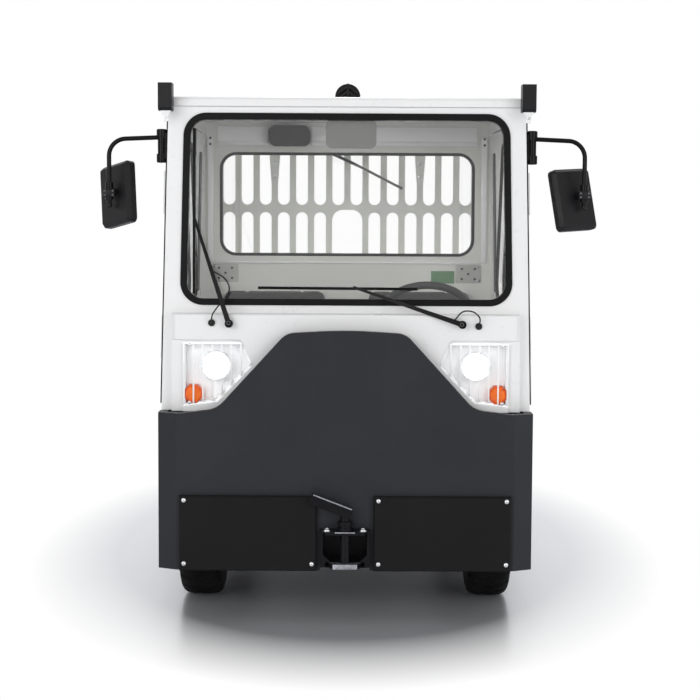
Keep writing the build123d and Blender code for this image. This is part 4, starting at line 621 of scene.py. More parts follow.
def on_side(y, z, out=0.0):
    """Matrix on the cab's leaning left side: local x to the rear, local y up the side."""
    origin = Vector((CAB_FOOT_X - CAB_LEAN * (z - cab_low.z), y, z)) + SIDE_OUT * out
    return frame_matrix(origin, BACKWARD, SIDE_OUT)


# ------------------------------------------------------------ bumper and coupling
PAD_BOLT_R = 8.5 * MM
PAD_BOLT_IN = 17 * MM           # of the bolts from a pad's ends
PAD_BOLT_RISE = 25 * MM         # of the lower bolts above a pad's foot
PAD_BOLT_DROP = 14 * MM         # of the upper bolts below a pad's top
LIP_FLARE = 14 * MM             # how much wider the lower lip is on each side behind its front edge
LIP_REACH = 36 * MM


def bumper_bolts():
    """Dome bolts in dark cups near the corners of the two rubber pads."""
    bolts, cups = Shape(), Shape()
    for side in SIDES:
        low, high = side_box("bumper_pads", side)
        places = ((low.x + PAD_BOLT_IN, high.x - PAD_BOLT_IN), (low.y,),
                  (low.z + PAD_BOLT_RISE, high.z - PAD_BOLT_DROP))
        bolts.bolts(*places, FORWARD, PAD_BOLT_R, 1.0)
        for place in itertools.product(*places):
            cups.turned(place, FORWARD, flat_ring(PAD_BOLT_R, PAD_BOLT_R * 1.6, 1.2 * MM))
    bolts.piece("pad_bolts", "bolt")
    cups.piece("pad_bolt_cups", "pad_rubber")


def hitch_details():
    """Bolts on the coupling's upper jaw, bright strips on the lips that are painted highlight over some real wear,
    and near-black discs that are painted shade in the empty bolt holes beside the mouth.
    """
    low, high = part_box("front_hitch")
    jaw = points("front_hitch", lambda place: place.y < low.y + 1 * MM)
    lower = [place for place in jaw if place.z < (low.z + high.z) / 2]
    Shape().bolts(mm(62, -62), [low.y + 22 * MM], [high.z], UP, 13 * MM, 1.2).piece("hitch_bolts", "bolt")
    highlight_and_wear, hole_shades = Shape(), Shape()
    half = max(place.x for place in lower)
    lip_top = max(place.z for place in lower)
    lip_foot = min(place.z for place in lower)
    # Lower lip's top and front faces and the upper jaw's front edge: painted highlight where light falls, with some
    # real wear.
    highlight_and_wear.slab([(-half, 0), (half, 0), (half + LIP_FLARE, LIP_REACH), (-half - LIP_FLARE, LIP_REACH)], 0.6 * MM,
              Matrix.Translation((0, low.y, lip_top)))
    highlight_and_wear.box((0, low.y, (lip_foot + lip_top) / 2), (2 * half, 1.2 * MM, (lip_top - lip_foot) * 0.9), 0.4 * MM)
    edge_z = max(place.z for place in jaw) - 2.5 * MM
    highlight_and_wear.box((0, low.y, edge_z), (0.82 * 2 * half, 1.2 * MM, 4 * MM), 0.4 * MM)
    # Near-black discs painted as the shade inside the two empty bolt holes.
    for x in mm(61, -61):
        hole_shades.turned((x, low.y + 37 * MM, low.z + 11 * MM), FORWARD, mm((0, -1), (8.5, -1), (8.5, 0.4), (0, 0.4)))
    highlight_and_wear.piece("hitch_lip_highlight_and_wear", "highlight_and_wear_steel")
    hole_shades.piece("hitch_hole_shades", "hole_shade_black")


def lever_edge_highlight():
    """Painted highlight along the front edge of the coupling lever's fold, as a thin bright strip."""
    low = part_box("hitch_lever")[0]
    front = points("hitch_lever", lambda place: place.y < low.y + 1 * MM)
    middle = sum(front, Vector()) / len(front)
    left = [place for place in front if place.x > middle.x]
    right = [place for place in front if place.x < middle.x]
    run = sum(left, Vector()) / len(left) - sum(right, Vector()) / len(right)
    turn = Matrix.Rotation(-math.atan2(run.z, run.x), 3, "Y")
    strip = Shape().box((middle.x, low.y, middle.z), (run.length, 0.1 * MM, 4.4 * MM), 0.0, turn)
    strip.piece("lever_edge_highlight", "highlight_and_wear_steel")


# ------------------------------------------------------------ lamps
RIB_PITCH = 33 * MM
RIB_WIDTH = 6 * MM
FLUTE_PITCH = 5.5 * MM
FLUTE_WIDTH = 1.8 * MM
COVER_RIM = 4 * MM
PRISM_PITCH = 7 * MM
PRISM_SLANT = math.radians(-52)


def headlamp(side, hand):
    """Bowl reflector with a ring and a lit lens, in place of the plain lamp."""
    low, high = side_box("headlamps", side)
    radius = (high.x - low.x) / 2
    depth = high.y - low.y
    front = Vector(((low.x + high.x) / 2, low.y, (low.z + high.z) / 2))
    bowl = Shape().turned(front, BACKWARD, [
        (radius, 0), (radius, depth), (radius * 0.3, depth), (0, depth), (0, 31 * MM), (radius * 0.5, 28 * MM),
        (radius * 0.8, 14 * MM), (radius * 0.91, 3 * MM), (radius * 0.91, 0), (radius, 0)], 48)
    glow = Shape().turned(front + Vector((0, 2 * MM, 0)), BACKWARD, [
        (0, 0), (radius * 0.4, 0.8 * MM), (radius * 0.8, 5 * MM), (radius * 0.8, 7 * MM), (0, 7 * MM)], 48)
    glow.piece("headlamp_lens_" + hand, "headlight")
    made = bowl.piece("headlamp_bowl_" + hand, "lamp_reflector")
    if side == 1:
        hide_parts("headlamps")


def indicator(side, hand):
    """Eight-sided amber lens with a sloping rim and slanting prisms, the prisms in a lighter amber that is painted
    highlight.
    """
    low, high = side_box("indicators", side)
    centre = (low + high) / 2
    radius = (high.x - low.x) / 2 / math.cos(math.pi / 8)
    depth = high.y - low.y
    body = Shape().turned((centre.x, high.y, centre.z), FORWARD, [
        (0, 0), (radius, 0), (radius, depth - 5 * MM), (radius * 0.82, depth - 0.5 * MM), (0, depth - 0.5 * MM)],
        8, 22.5)
    prisms = Shape()
    turn = Matrix.Rotation(PRISM_SLANT, 3, "Y")
    for shift in (step * PRISM_PITCH for step in range(-3, 4)):
        half = 0.8 * math.sqrt(max((radius * 0.8) ** 2 - shift ** 2, 0))
        place = Vector((centre.x, low.y, centre.z)) + turn @ Vector((0, 0, shift))
        prisms.box(place, (2 * half, 2.4 * MM, 3.2 * MM), 1 * MM, turn)
    prisms.piece("indicator_prisms_" + hand, "amber_prism_highlight")
    made = body.piece("indicator_lens_" + hand, "amber_lens")
    if side == 1:
        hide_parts("indicators")


def cover_ribs(side, hand):
    """Upright ribs painted opaque white as their highlight, and fine clear flutes, over a lamp cover, cut to its
    outline, and its two screws.
    """
    low, high = side_box("lamp_covers", side)
    outline = outline_of("lamp_covers", lambda place: place.x * side > 0 and place.y < low.y + 0.1 * MM)
    inner, outer = sorted((low.x, high.x), key=lambda x: x * side)
    reach = abs(outer - inner)
    for name, pitch, width, height, first in (
        ("cover_rib_highlight", RIB_PITCH, RIB_WIDTH, 3.5 * MM, RIB_WIDTH / 2),
        ("cover_flute", FLUTE_PITCH, FLUTE_WIDTH, 1.4 * MM, RIB_WIDTH),
    ):
        bars = Shape()
        for step in range(int((reach - first) / pitch) + 1):
            x = outer - side * (first + step * pitch)
            bottom, top = height_range(outline, x)
            if top - bottom > 4 * COVER_RIM:
                centre = (x, low.y - height / 2 + 0.3 * MM, (bottom + top) / 2)
                bars.box(centre, (width, height, top - bottom - 2 * COVER_RIM), min(width, height) * 0.3)
        bars.piece(name + "s_" + hand, name)
    x = outer - side * 22 * MM
    bottom, top = height_range(outline, x)
    screws = Shape().bolts([x], [low.y], [bottom + 9 * MM, top - 9 * MM], FORWARD, 4 * MM, 1.4)
    screws.piece("cover_screws_" + hand, "bolt")


def rear_lamp(side, hand):
    """Ribs across the red lens, and two screws."""
    low, high = side_box("rear_lamps", side)
    x = (low.x + high.x) / 2
    ribs = Shape()
    for z in along(low.z + 10 * MM, high.z - 10 * MM, 12):
        ribs.box((x, high.y, z), (high.x - low.x - 12 * MM, *mm(2.4, 3)), 1 * MM)
    ribs.piece("rear_lamp_ribs_" + hand, "red_lens")
    screws = Shape().bolts([x], [high.y], [low.z + 4 * MM, high.z - 4 * MM], BACKWARD, 2.5 * MM, 1.3, 12)
    screws.piece("rear_lamp_screws_" + hand, "bolt")


# ------------------------------------------------------------ mirrors, roof and wipers
def flat_face(node, side, toward):
    """Outline points, middle and normal of the largest flat face on one side of a node that faces toward."""
    mesh = frame["nodes"][node].data
    groups = {}
    for polygon in mesh.polygons:
        if polygon.center.x * side > 0 and polygon.normal.dot(Vector(toward)) > 0.3:
            groups.setdefault(tuple(round(value, 2) for value in polygon.normal), []).append(polygon)
    largest = max(groups.values(), key=lambda polygons: sum(polygon.area for polygon in polygons))
    places = {tuple(mesh.vertices[index].co) for polygon in largest for index in polygon.vertices}
    middle = sum((Vector(place) for place in places), Vector()) / len(places)
    return [Vector(place) for place in places], middle, largest[0].normal.normalized()


def mirror_glass(side, hand):
    """Silvered glass, set in from the rim on the face of the head that looks back at the driver."""
    places, middle, normal = flat_face("mirror_heads", side, BACKWARD)
    matrix = frame_matrix(middle, LEFT, normal)
    flat = [matrix.inverted() @ place for place in places]
    flat.sort(key=lambda place: math.atan2(place.y, place.x))
    inset = [(place.x * 0.93, place.y * 0.95) for place in flat]
    Shape().slab(inset, 1.5 * MM, matrix).piece("mirror_glass_" + hand, "mirror_glass")


def mirror_clamp(side, hand):
    """Two-part clamp with its bolts that holds a mirror head to the arm's foot."""
    low, high = side_box("mirror_arms", side)
    arm_x = side * (max(abs(low.x), abs(high.x)) - 14 * MM)
    arm_y = (low.y + high.y) / 2
    clamp_z = low.z + 45 * MM
    clamp = Shape().box((arm_x, arm_y - 6 * MM, clamp_z), mm(44, 22, 30), 5 * MM)
    clamp.turned((arm_x, arm_y, low.z), DOWN, mm((0, -6), (9.5, -6), (9.5, 3), (0, 7)))
    clamp.piece("mirror_clamp_" + hand, "mirror_plastic")
    bolts = Shape().bolts([arm_x - 14 * MM, arm_x + 14 * MM], [arm_y - 17 * MM],
                          [clamp_z - 7 * MM, clamp_z + 7 * MM], FORWARD, 3.5 * MM, 1.2, 16)
    bolts.piece("mirror_clamp_bolts_" + hand, "dark_bolt")


def mirror_post_caps(side, hand):
    """End caps on the mirror's post."""
    low, high = side_box("mirror_arms", side)
    place = (side * (CAB_HEAD_X + 26 * MM), (low.y + high.y) / 2)
    caps = Shape()
    for z, axis in ((high.z, UP), (high.z - 112 * MM, DOWN)):
        caps.turned((*place, z), axis, mm((0, 0), (17, 0), (15, 2.5), (0, 3.5)), 28)
    caps.piece("mirror_post_caps_" + hand, "mirror_plastic")


def housing_bracket(side, hand):
    """White bent bracket with its bolt below a roof corner housing."""
    low, high = side_box("corner_housings", 1)
    plate, bolt = Shape(), Shape()
    foot = low.z - 38 * MM
    outline = [(low.x + 4 * MM, low.z), (high.x - 6 * MM, low.z), (high.x - 16 * MM, low.z - 12 * MM),
               (high.x - 20 * MM, foot), (CAB_HEAD_X + 1 * MM, foot)]
    plate.slab(outline, 4 * MM, frame_matrix((0, low.y + 14 * MM, 0), LEFT, FORWARD))
    hex_bolt(bolt, (high.x - 22 * MM, low.y + 10 * MM, low.z - 22 * MM), FORWARD, 4.5 * MM)
    plate.mirrored(side).piece("housing_bracket_" + hand, "cab_white")
    bolt.mirrored(side).piece("housing_bolt_" + hand, "bolt")


def work_lamp_lens():
    """Clear lens over a ring of small lights on the work lamp's rear face."""
    low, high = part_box("work_lamp")
    radius = (high.x - low.x) / 2
    inner = radius * 0.86
    place = Vector((0, high.y, high.z - radius))
    rim, lights, glass = Shape(), Shape(), Shape()
    rim.turned(place, BACKWARD, flat_ring(inner, radius, 4 * MM), 40)
    for spot in circle(place, radius * 0.5, 6):
        lights.turned(spot, BACKWARD, mm((0, 0), (9, 0), (7, 1.5), (0, 2)), 20)
    glass.turned(place + Vector((0, 2.2 * MM, 0)), BACKWARD,
                 [(0, 0), (inner, 0), (inner, 1.2 * MM), (0, 1.6 * MM)], 40)
    rim.piece("work_lamp_rim", "mirror_plastic")
    lights.piece("work_lamp_lights", "lamp_reflector")
    glass.piece("work_lamp_glass", "lamp_cover")


WIPER_HEAD_Z = 1.06             # the spindle's head lies below this, the blade above it
SPINDLE_AXIS = (0, -1, 0.045)


def wiper_details():
    """Nut and washer on each front wiper's spindle."""
    washers, nuts = Shape(), Shape()
    for side in SIDES:
        places = points("wipers", lambda place: place.y < -1 and place.x * side > 0.3)
        front_y = min(place.y for place in places)
        head = [place for place in places if place.y < front_y + 6 * MM and place.z < WIPER_HEAD_Z]
        spindle = (sum(place.x for place in head) / len(head), front_y, sum(place.z for place in head) / len(head))
        washers.turned(spindle, SPINDLE_AXIS, flat_ring(5 * MM, 7 * MM, 1.6 * MM), 28)
        nuts.turned(spindle, SPINDLE_AXIS, mm((0, 0), (5, 0), (4.5, 4), (0, 5)))
    washers.piece("wiper_washers", "dark_bolt")
    nuts.piece("wiper_nuts", "arm_black")


# ------------------------------------------------------------ doors and sides
# Made on the left and mirrored for the right
HANDLE_IN = 120 * MM            # of the handle from the door's rear edge
HANDLE_UP = 230 * MM            # above the cab's base
WALL_GAP = 13.5 * MM            # from a door's glass to the door's outer face
DOOR_DEPTH = 33 * MM
TRIM_COVER = 4 * MM
GASKET_HALF = 6 * MM
PLATE_BOLTS_Y = -0.62           # foremost bolt along the foot of a side plate
door_low, door_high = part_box("door_left")
DOOR_FRONT = min(place.y for place in points("door_left", lambda place: place.z > door_high.z - 20 * MM))


def door_handle(side, hand):
    """Framed paddle handle with its lock, on the pressing near the door's rear edge."""
    matrix = on_side(door_high.y - HANDLE_IN, cab_low.z + HANDLE_UP, -3.4 * MM)
    plate, paddle, lock = Shape(), Shape(), Shape()
    plate.slab(rounded(*mm(142, 54, 12)), 5 * MM, matrix)
    paddle.slab(rounded(*mm(100, 32, 8)), 7 * MM, matrix @ Matrix.Translation(mm(-12, 0, 5)))
    lock.turned(matrix @ Vector(mm(56, 0, 5)), SIDE_OUT, mm((0, 0), (9, 0), (9, 3), (5, 4), (0, 4)))
    plate.mirrored(side).piece("handle_frame_" + hand, "cab_plastic", "door_" + hand)
    paddle.mirrored(side).piece("handle_paddle_" + hand, "cab_plastic", "door_" + hand)
    lock.mirrored(side).piece("handle_lock_" + hand, "bolt", "door_" + hand)


def door_window_rubber(side, hand):
    """Rubber beads round both faces of a door's window."""
    glass = points("door_glass_left")
    middle = sum(glass, Vector()) / len(glass)
    outer = [place.copy() for place in glass if (place - middle).dot(SIDE_OUT) > 0]
    edge = sorted(outer, key=lambda place: math.atan2(place.z - middle.z, place.y - middle.y))
    beads = Shape()
    for out in (WALL_GAP, -WALL_GAP - 6 * MM):
        beads.tube([place + SIDE_OUT * out for place in edge], 6.5 * MM, 8, closed=True)
    beads.mirrored(side).piece("door_window_rubber_" + hand, "window_rubber", "door_" + hand)


def door_edge_rubber(side, hand):
    """Rubber along the front, top and rear edges of a door."""
    waist_z = min(place.z for place in points("door_left") if place.y < DOOR_FRONT + 100 * MM)
    width, depth = mm(2.2, 16)
    rubber = Shape()
    for y, bottom in ((DOOR_FRONT - width / 2, waist_z), (door_high.y + width / 2, door_low.z)):
        height = (door_high.z - bottom) / SIDE_UP.z
        rubber.slab(rectangle(-width / 2, 0, width / 2, height), depth, on_side(y, bottom, -depth - 2 * MM))
    length = door_high.y - DOOR_FRONT + 2 * width
    rubber.slab(rectangle(0, 0, length, width), depth, on_side(DOOR_FRONT - width, door_high.z, -depth - 2 * MM))
    rubber.mirrored(side).piece("door_edge_rubber_" + hand, "window_rubber", "door_" + hand)


def door_inner_trim(side, hand):
    """Plastic rail covers on the door's inner face, in front of and behind its window."""
    low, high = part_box("door_glass_left")
    foot, height = low.z + 20 * MM, high.z - low.z - 40 * MM
    rails = Shape()
    rear = high.y + 22 * MM
    for start, end in ((rear, rear + 85 * MM), (door_low.y + 35 * MM, low.y - 22 * MM)):
        rails.slab(rounded(end - start, height, 12 * MM), TRIM_COVER,
                   on_side((start + end) / 2, foot + height / 2, -DOOR_DEPTH - TRIM_COVER))
    rails.mirrored(side).piece("door_inner_trim_" + hand, "cab_plastic", "door_" + hand)


def corner_gasket(side, hand):
    """Black gasket between the windscreen wall and the cab's side, proud of the side."""
    wall = points("cab_sides", lambda place: place.x > 0)
    foot_y = min(place.y for place in wall if place.z < cab_low.z + 5 * MM)
    head_y = min(place.y for place in wall if place.z > cab_high.z - 5 * MM)
    slope = (head_y - foot_y) / (cab_high.z - cab_low.z)
    foot, head = (on_side(foot_y + slope * (z - cab_low.z) + GASKET_HALF, z).translation
                  for z in (cab_low.z + 20 * MM, cab_high.z - 51 * MM))
    run = head - foot
    outline = rectangle(0, -GASKET_HALF, run.length, GASKET_HALF)
    gasket = Shape().slab(outline, 8 * MM, frame_matrix(foot, run, SIDE_OUT))
    gasket.mirrored(side).piece("corner_gasket_" + hand, "window_rubber")


def hinge_screws(side, hand):
    """Two screws in each leaf of the door's hinges."""
    heights = [place.z for place in points("door_left") if place.y < DOOR_FRONT - 1 * MM]
    middle = (min(heights) + max(heights)) / 2
    screws = Shape()
    for leaf in ([z for z in heights if z < middle], [z for z in heights if z > middle]):
        level = (min(leaf) + max(leaf)) / 2
        for z in (level - 12 * MM, level + 12 * MM):
            dome_bolt(screws, on_side(DOOR_FRONT + 26 * MM, z, 5 * MM).translation, SIDE_OUT, 4.5 * MM, 1.2, 14)
    screws.mirrored(side).piece("hinge_screws_" + hand, "bolt", "door_" + hand)


def side_plate_bolts(side, hand):
    """Bolts along the foot of a side plate."""
    low, high = side_box("side_plates", 1)
    bolts = Shape().bolts([high.x], along(PLATE_BOLTS_Y, high.y - 40 * MM, 4), [low.z + 30 * MM],
                          LEFT, 7 * MM, 1.3, 16)
    bolts.mirrored(side).piece("side_plate_bolts_" + hand, "bright_steel")


# ------------------------------------------------------------ inside the cab
REAR_WALL_Y = cab_low.y         # inner face of the rear wall
HEADER_Z, HEADER_HEIGHT, HEADER_DEPTH = 1.735, 78 * MM, 12 * MM
HEADER_END_X = 0.542
STRIP_X, STRIP_Z, STRIP_HEIGHT, STRIP_DEPTH = 0.571, 1.47, 0.52, 14 * MM
RIVETS_Z = (1.700, 1.725)
LEDGE_Z, LEDGE_LENGTH = 1.209, 1.09
HOLE_PLATE_X, HOLE_PLATE_Z = 0.509, 1.164
PLATE_HOLES = [(0, 0), (-0.28, -0.28), (0.28, -0.28), (-0.28, 0.28), (0.28, 0.28)]
BLANK_PLATE_X, BLANK_PLATE_Z = 0.402, 1.150
FLOOR_TOP = 0.4303
MAT_Y, MAT_WIDTH, MAT_LENGTH = -0.90, 0.50, 0.46


def on_rear_wall(x, z):
    """Matrix on the rear wall's inner face, local x to the tug's left and local z forward."""
    return frame_matrix((x, REAR_WALL_Y, z), LEFT, FORWARD)


def wall_mouldings():
    """Pressed header, upright strips and a ledge on the rear wall's inner face."""
    mould = Shape()
    motor_low, motor_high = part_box("wiper_motor")
    for start, end in ((-HEADER_END_X, motor_low.x - 4 * MM), (motor_high.x + 4 * MM, HEADER_END_X)):
        middle, length = (start + end) / 2, end - start
        mould.box((middle, REAR_WALL_Y - HEADER_DEPTH / 2, HEADER_Z), (length, HEADER_DEPTH, HEADER_HEIGHT), 2 * MM)
        mould.box((middle, REAR_WALL_Y - HEADER_DEPTH, HEADER_Z - 26 * MM), (length - 6 * MM, *mm(6, 8)), 2 * MM)
    for side in SIDES:
        mould.box((side * STRIP_X, REAR_WALL_Y - STRIP_DEPTH / 2, STRIP_Z), (24 * MM, STRIP_DEPTH, STRIP_HEIGHT),
                  2 * MM)
    mould.box((0, REAR_WALL_Y - 5 * MM, LEDGE_Z), (LEDGE_LENGTH, *mm(10, 7)), 2 * MM)
    mould.piece("rear_wall_mouldings", "cab_white")
    rivets = Shape().bolts([STRIP_X, -STRIP_X], [REAR_WALL_Y - STRIP_DEPTH], RIVETS_Z, FORWARD, 4 * MM, 1.3, 12)
    rivets.piece("rear_wall_rivets", "cab_plastic")


def hole_plate(side, hand):
    """Grey plate low on the rear wall, with five dark discs painted as the shade in its holes."""
    width, height, thick = mm(108, 76, 3)
    x, face_y = side * HOLE_PLATE_X, REAR_WALL_Y - thick
    plate = Shape().slab(rounded(width, height, 6 * MM), thick, on_rear_wall(x, HOLE_PLATE_Z))
    hole_shades = Shape()
    # Dark discs on the plate's face: painted shade of the holes.
    for across, up in PLATE_HOLES:
        hole_shades.turned((x + across * width * 0.9, face_y, HOLE_PLATE_Z + up * height), FORWARD,
                     mm((0, 0.3), (5, 0.3), (5, 0), (0, 0)), 18)
    bolts = Shape().bolts([x + side * 0.42 * width], [face_y], [HOLE_PLATE_Z + up * height for up in (-0.38, 0.38)],
                          FORWARD, 4 * MM, 1.3, 14)
    plate.piece("hole_plate_" + hand, "plate_grey")
    hole_shades.piece("hole_plate_hole_shades_" + hand, "cab_plastic")
    bolts.piece("hole_plate_bolts_" + hand, "bolt")


def blank_plate():
    """Plain green plate beside the driver's hole plate."""
    plate = Shape().slab(rounded(*mm(98, 52, 2)), 1.2 * MM, on_rear_wall(BLANK_PLATE_X, BLANK_PLATE_Z))
    plate.piece("blank_plate", "plate_green")


def steering_column():
    """Shroud, boot and direction lever between the dashboard and the steering wheel."""
    hub, axis = joint("steering_wheel_turn")
    column, lever, knob = Shape(), Shape(), Shape()
    start = hub - axis * 40 * MM
    column.turned(start, -axis, mm((0, 0), (34, 0), (38, 12), (38, 60), (52, 100), (52, 150), (0, 150)), 32)
    across = Vector(LEFT)
    base = start - axis * 40 * MM
    tip = base + across * 150 * MM + axis * 26 * MM
    lever.tube([base, base + across * 60 * MM, tip], 4 * MM, 10)
    knob.turned(tip, across, mm((0, -12), (9, -10), (10, 8), (6, 14), (0, 15)), 20)
    column.piece("steering_shroud", "cab_plastic")
    lever.piece("direction_lever", "bright_steel")
    knob.piece("direction_knob", "cab_plastic")


def floor_mat():
    """Ribbed rubber mat on the cab's floor in front of the seats."""
    mat = Shape()
    mat.box((0, MAT_Y, FLOOR_TOP + 2 * MM), (MAT_WIDTH, MAT_LENGTH, 4 * MM), 1 * MM)
    for x in along(-MAT_WIDTH / 2 + 20 * MM, MAT_WIDTH / 2 - 20 * MM, 24):
        mat.box((x, MAT_Y, FLOOR_TOP + 4.5 * MM), (8 * MM, MAT_LENGTH - 20 * MM, 2.5 * MM), 1 * MM)
    mat.piece("floor_mat", "pad_rubber")


# ------------------------------------------------------------ guard and rear body
GUARD_TAB_X, GUARD_TABS_Z = 0.3076, (1.6254, 1.5705)
GUARD_FOOT_X = 0.585
TREAD_PITCH = 34 * MM
LID_HINGES_X = (-0.42, 0.42)
BUMPER_BOLTS_X = (-0.54, -0.2, 0.2, 0.54)


def guard_bolts():
    """Bolts in the guard's two tapered tabs and through its feet."""
    low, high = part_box("guard_grille")
    bolts = Shape()
    for y, axis in ((low.y, FORWARD), (high.y, BACKWARD)):
        bolts.bolts([GUARD_TAB_X, -GUARD_TAB_X], [y], GUARD_TABS_Z, axis, 5 * MM, 1.4, 16)
    for place in itertools.product((GUARD_FOOT_X, -GUARD_FOOT_X), (low.y,), (low.z + 18 * MM, low.z + 42 * MM)):
        hex_bolt(bolts, place, FORWARD, 7 * MM)
    bolts.piece("guard_bolts", "bolt")


def tread_plate():
    """Raised lozenges of the tread plate on the rear deck, laid in two directions."""
    low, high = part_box("rear_body")
    lid_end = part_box("battery_lid")[1].y
    rows = int((high.y - lid_end - 60 * MM) / TREAD_PITCH)
    columns = int((high.x - low.x - 80 * MM) / TREAD_PITCH)
    lugs = Shape()
    for row, column in itertools.product(range(rows), range(columns)):
        place = ((column - (columns - 1) / 2) * TREAD_PITCH, lid_end + 40 * MM + row * TREAD_PITCH, high.z)
        turn = Matrix.Rotation(math.radians(45 if (row + column) % 2 else -45), 3, "Z")
        lugs.box(place, mm(22, 6, 2.4), 1 * MM, turn)
    lugs.piece("tread_plate_lugs", "bumper_paint")


def lid_details():
    """Hinges along the lid's front edge and a folding handle in its pressing."""
    low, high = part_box("battery_lid")
    hinges, handle = Shape(), Shape()
    for x in LID_HINGES_X:
        hinges.box((x, low.y + 30 * MM, high.z), mm(70, 50, 3), 1 * MM)
        hinges.bolts([x - 22 * MM, x + 22 * MM], [low.y + 36 * MM], [high.z + 1.5 * MM], UP, 5 * MM, 1.3, 14)
    grip_y = high.y - 80 * MM
    handle.tube([(x * MM, grip_y, high.z + z * MM) for x, z in ((-46, -3), (-46, 3), (46, 3), (46, -3))],
                3.5 * MM, 10)
    hinges.piece("lid_hinges", "bumper_paint", "battery_lid")
    handle.piece("lid_handle", "bright_steel", "battery_lid")


def rear_bumper_bolts():
    """Two rows of bolts on the rear bumper."""
    low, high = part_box("rear_bumper")
    bolts = Shape().bolts(BUMPER_BOLTS_X, [high.y], [low.z + 40 * MM, high.z - 40 * MM], BACKWARD, 9 * MM, 1.3)
    bolts.piece("rear_bumper_bolts", "bolt")


def rear_pin_handle():
    """Ring handle through the head of the rear hitch's pin."""
    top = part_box("rear_hitch")[1].z
    pin = points("rear_hitch", lambda place: place.z > top - 1 * MM)
    centre = sum(pin, Vector()) / len(pin) + Vector((0, 0, 14 * MM))
    Shape().tube(circle(centre, 22 * MM, 28), 3 * MM, 8, closed=True).piece("rear_pin_ring", "bright_steel")


def rod_boots():
    """Ball joint boots at the ends of the tie rod."""
    low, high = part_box("tie_rod")
    boots = Shape()
    for x in (low.x + 17 * MM, high.x - 17 * MM):
        boots.turned((x, (low.y + high.y) / 2, low.z), DOWN,
                     mm((0, 0), (13, 0), (15, 4), (11, 8), (12, 11), (8, 15), (0, 16)))
    boots.piece("tie_rod_boots", "hose_rubber", "tie_rod")


for detail in (
    headlamp, indicator, cover_ribs, rear_lamp, mirror_glass, mirror_clamp, mirror_post_caps, housing_bracket,
    door_handle, door_window_rubber, door_edge_rubber, door_inner_trim, corner_gasket, hinge_screws,
    side_plate_bolts, hole_plate,
):
    for side, hand in SIDES.items():
        detail(side, hand)
for detail in (
    bumper_bolts, hitch_details, lever_edge_highlight, work_lamp_lens, wiper_details, wall_mouldings, blank_plate,
    steering_column, floor_mat, guard_bolts, tread_plate, lid_details, rear_bumper_bolts, rear_pin_handle, rod_boots,
):
    detail()


# ------------------------------------------------------------ stage, lights and camera
FLOOR_SIZE = 200.0
# Grey floor colour near the tug: painted shade round it, on top of the lamps' own shadow.
FLOOR_SHADE_COLOUR = (0.60, 0.61, 0.64, 1.0)
POLISH_COLOUR = (0.97, 0.98, 1.0, 1.0)
FLOOR_POLISH = 0.5              # share of the floor's look that is a blurred reflection
FLOOR_BLUR = 0.3
FLOOR_SHADE_FADE = (1.72, 2.35)       # distances from the tug's middle where the painted grey shade round the tug fades to plain white
FLOOR_SHADE_NARROW = 1.8              # how much sooner the painted shade fades to the sides
SKY_LIGHT = 0.42                # strength of the surroundings as light; to the eye they are 1, white


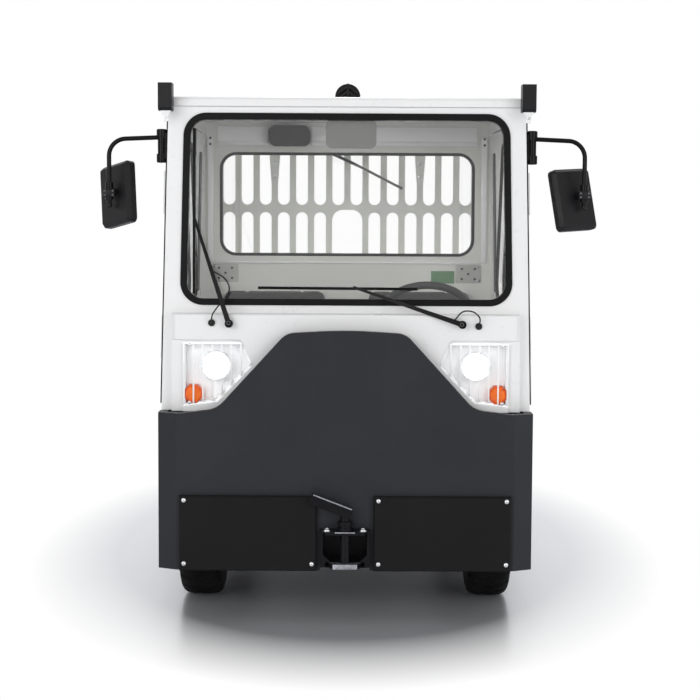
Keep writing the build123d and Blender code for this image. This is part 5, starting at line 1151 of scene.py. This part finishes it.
def stage():
    """Polished floor with a painted grey shade round the tug, which fades to plain white for the camera farther away.
    """
    bpy.ops.mesh.primitive_plane_add(size=FLOOR_SIZE, location=(0, 0, 0))
    floor = bpy.context.object
    floor.name = "floor"
    made = Nodes(bpy.data.materials.new("floor_white_and_painted_shade"))
    matt = made.add("ShaderNodeBsdfDiffuse", "BSDF", {"Color": FLOOR_SHADE_COLOUR})
    polish = made.add("ShaderNodeBsdfAnisotropic", "BSDF", {"Color": POLISH_COLOUR, "Roughness": FLOOR_BLUR})
    stretch = made.add("ShaderNodeMapping", "Vector", {"Vector": made.place, "Scale": (FLOOR_SHADE_NARROW, 1.0, 1.0)})
    away = made.add("ShaderNodeVectorMath", "Value", {0: stretch}, operation="LENGTH")
    far = made.add("ShaderNodeMapRange", "Result",
                   {"Value": away, "From Min": FLOOR_SHADE_FADE[0], "From Max": FLOOR_SHADE_FADE[1]})
    rays = made.rays()
    seen = made.either(rays["Is Camera Ray"], rays["Is Transmission Ray"])
    share = made.add("ShaderNodeMath", "Value", {0: seen, 1: far}, operation="MULTIPLY")
    made.end(made.mix(share, made.mix(FLOOR_POLISH, matt, polish), made.add("ShaderNodeEmission", "Emission")))
    floor.data.materials.append(made.made)


def world():
    """White surroundings for the camera, gloss and glass, and a softer even light."""
    sky = Nodes(bpy.data.worlds.new("studio"), "Background")
    bpy.context.scene.world = sky.made
    rays = sky.rays()
    seen = sky.either(sky.either(rays["Is Camera Ray"], rays["Is Glossy Ray"]), rays["Is Transmission Ray"])
    strength = sky.add("ShaderNodeMapRange", "Result", {"Value": seen, "To Min": SKY_LIGHT, "To Max": 1.0})
    sky.put(sky.shader, {"Color": (1.0, 1.0, 1.0, 1.0), "Strength": strength})


def area_light(name, place, target, size, power):
    """Rectangular lamp that looks at its target."""
    lamp = bpy.data.lights.new(name, "AREA")
    lamp.shape = "RECTANGLE"
    lamp.size, lamp.size_y = size
    lamp.energy = power
    made = bpy.data.objects.new(name, lamp)
    made.location = place
    made.rotation_euler = (Vector(target) - Vector(place)).to_track_quat("-Z", "Y").to_euler()
    bpy.context.scene.collection.objects.link(made)


LIGHTS = [
    # name, place, target, size, power in watts
    ("key", (-3.0, -6.4, 2.2), (0, -1.3, 0.9), (3.5, 2.0), 92),
    ("fill", (3.4, -6.3, 1.9), (0, -1.3, 0.8), (3.0, 2.0), 66),
    ("right", (4.2, -2.4, 0.6), (0.6, -1.45, 0.3), (1.6, 1.0), 9),
    ("top", (0, 1.0, 5.5), (0, 0.6, 0), (2.0, 3.0), 52),
    ("back", (0, 6.0, 4.5), (0, 0.5, 0.5), (1.2, 3.5), 120),
]
stage()
world()
for light in LIGHTS:
    area_light(*light)

eye = bpy.data.cameras.new("camera")
eye.lens = 88.5
eye.sensor_width = 36.0
camera = bpy.data.objects.new("camera", eye)
camera.location = (0.0115, -7.393, 1.450)
camera.rotation_euler = (math.radians(90 - 4.815), math.radians(-0.3), 0.0)
bpy.context.scene.collection.objects.link(camera)
bpy.context.scene.camera = camera
bpy.context.scene.view_settings.view_transform = "Standard"
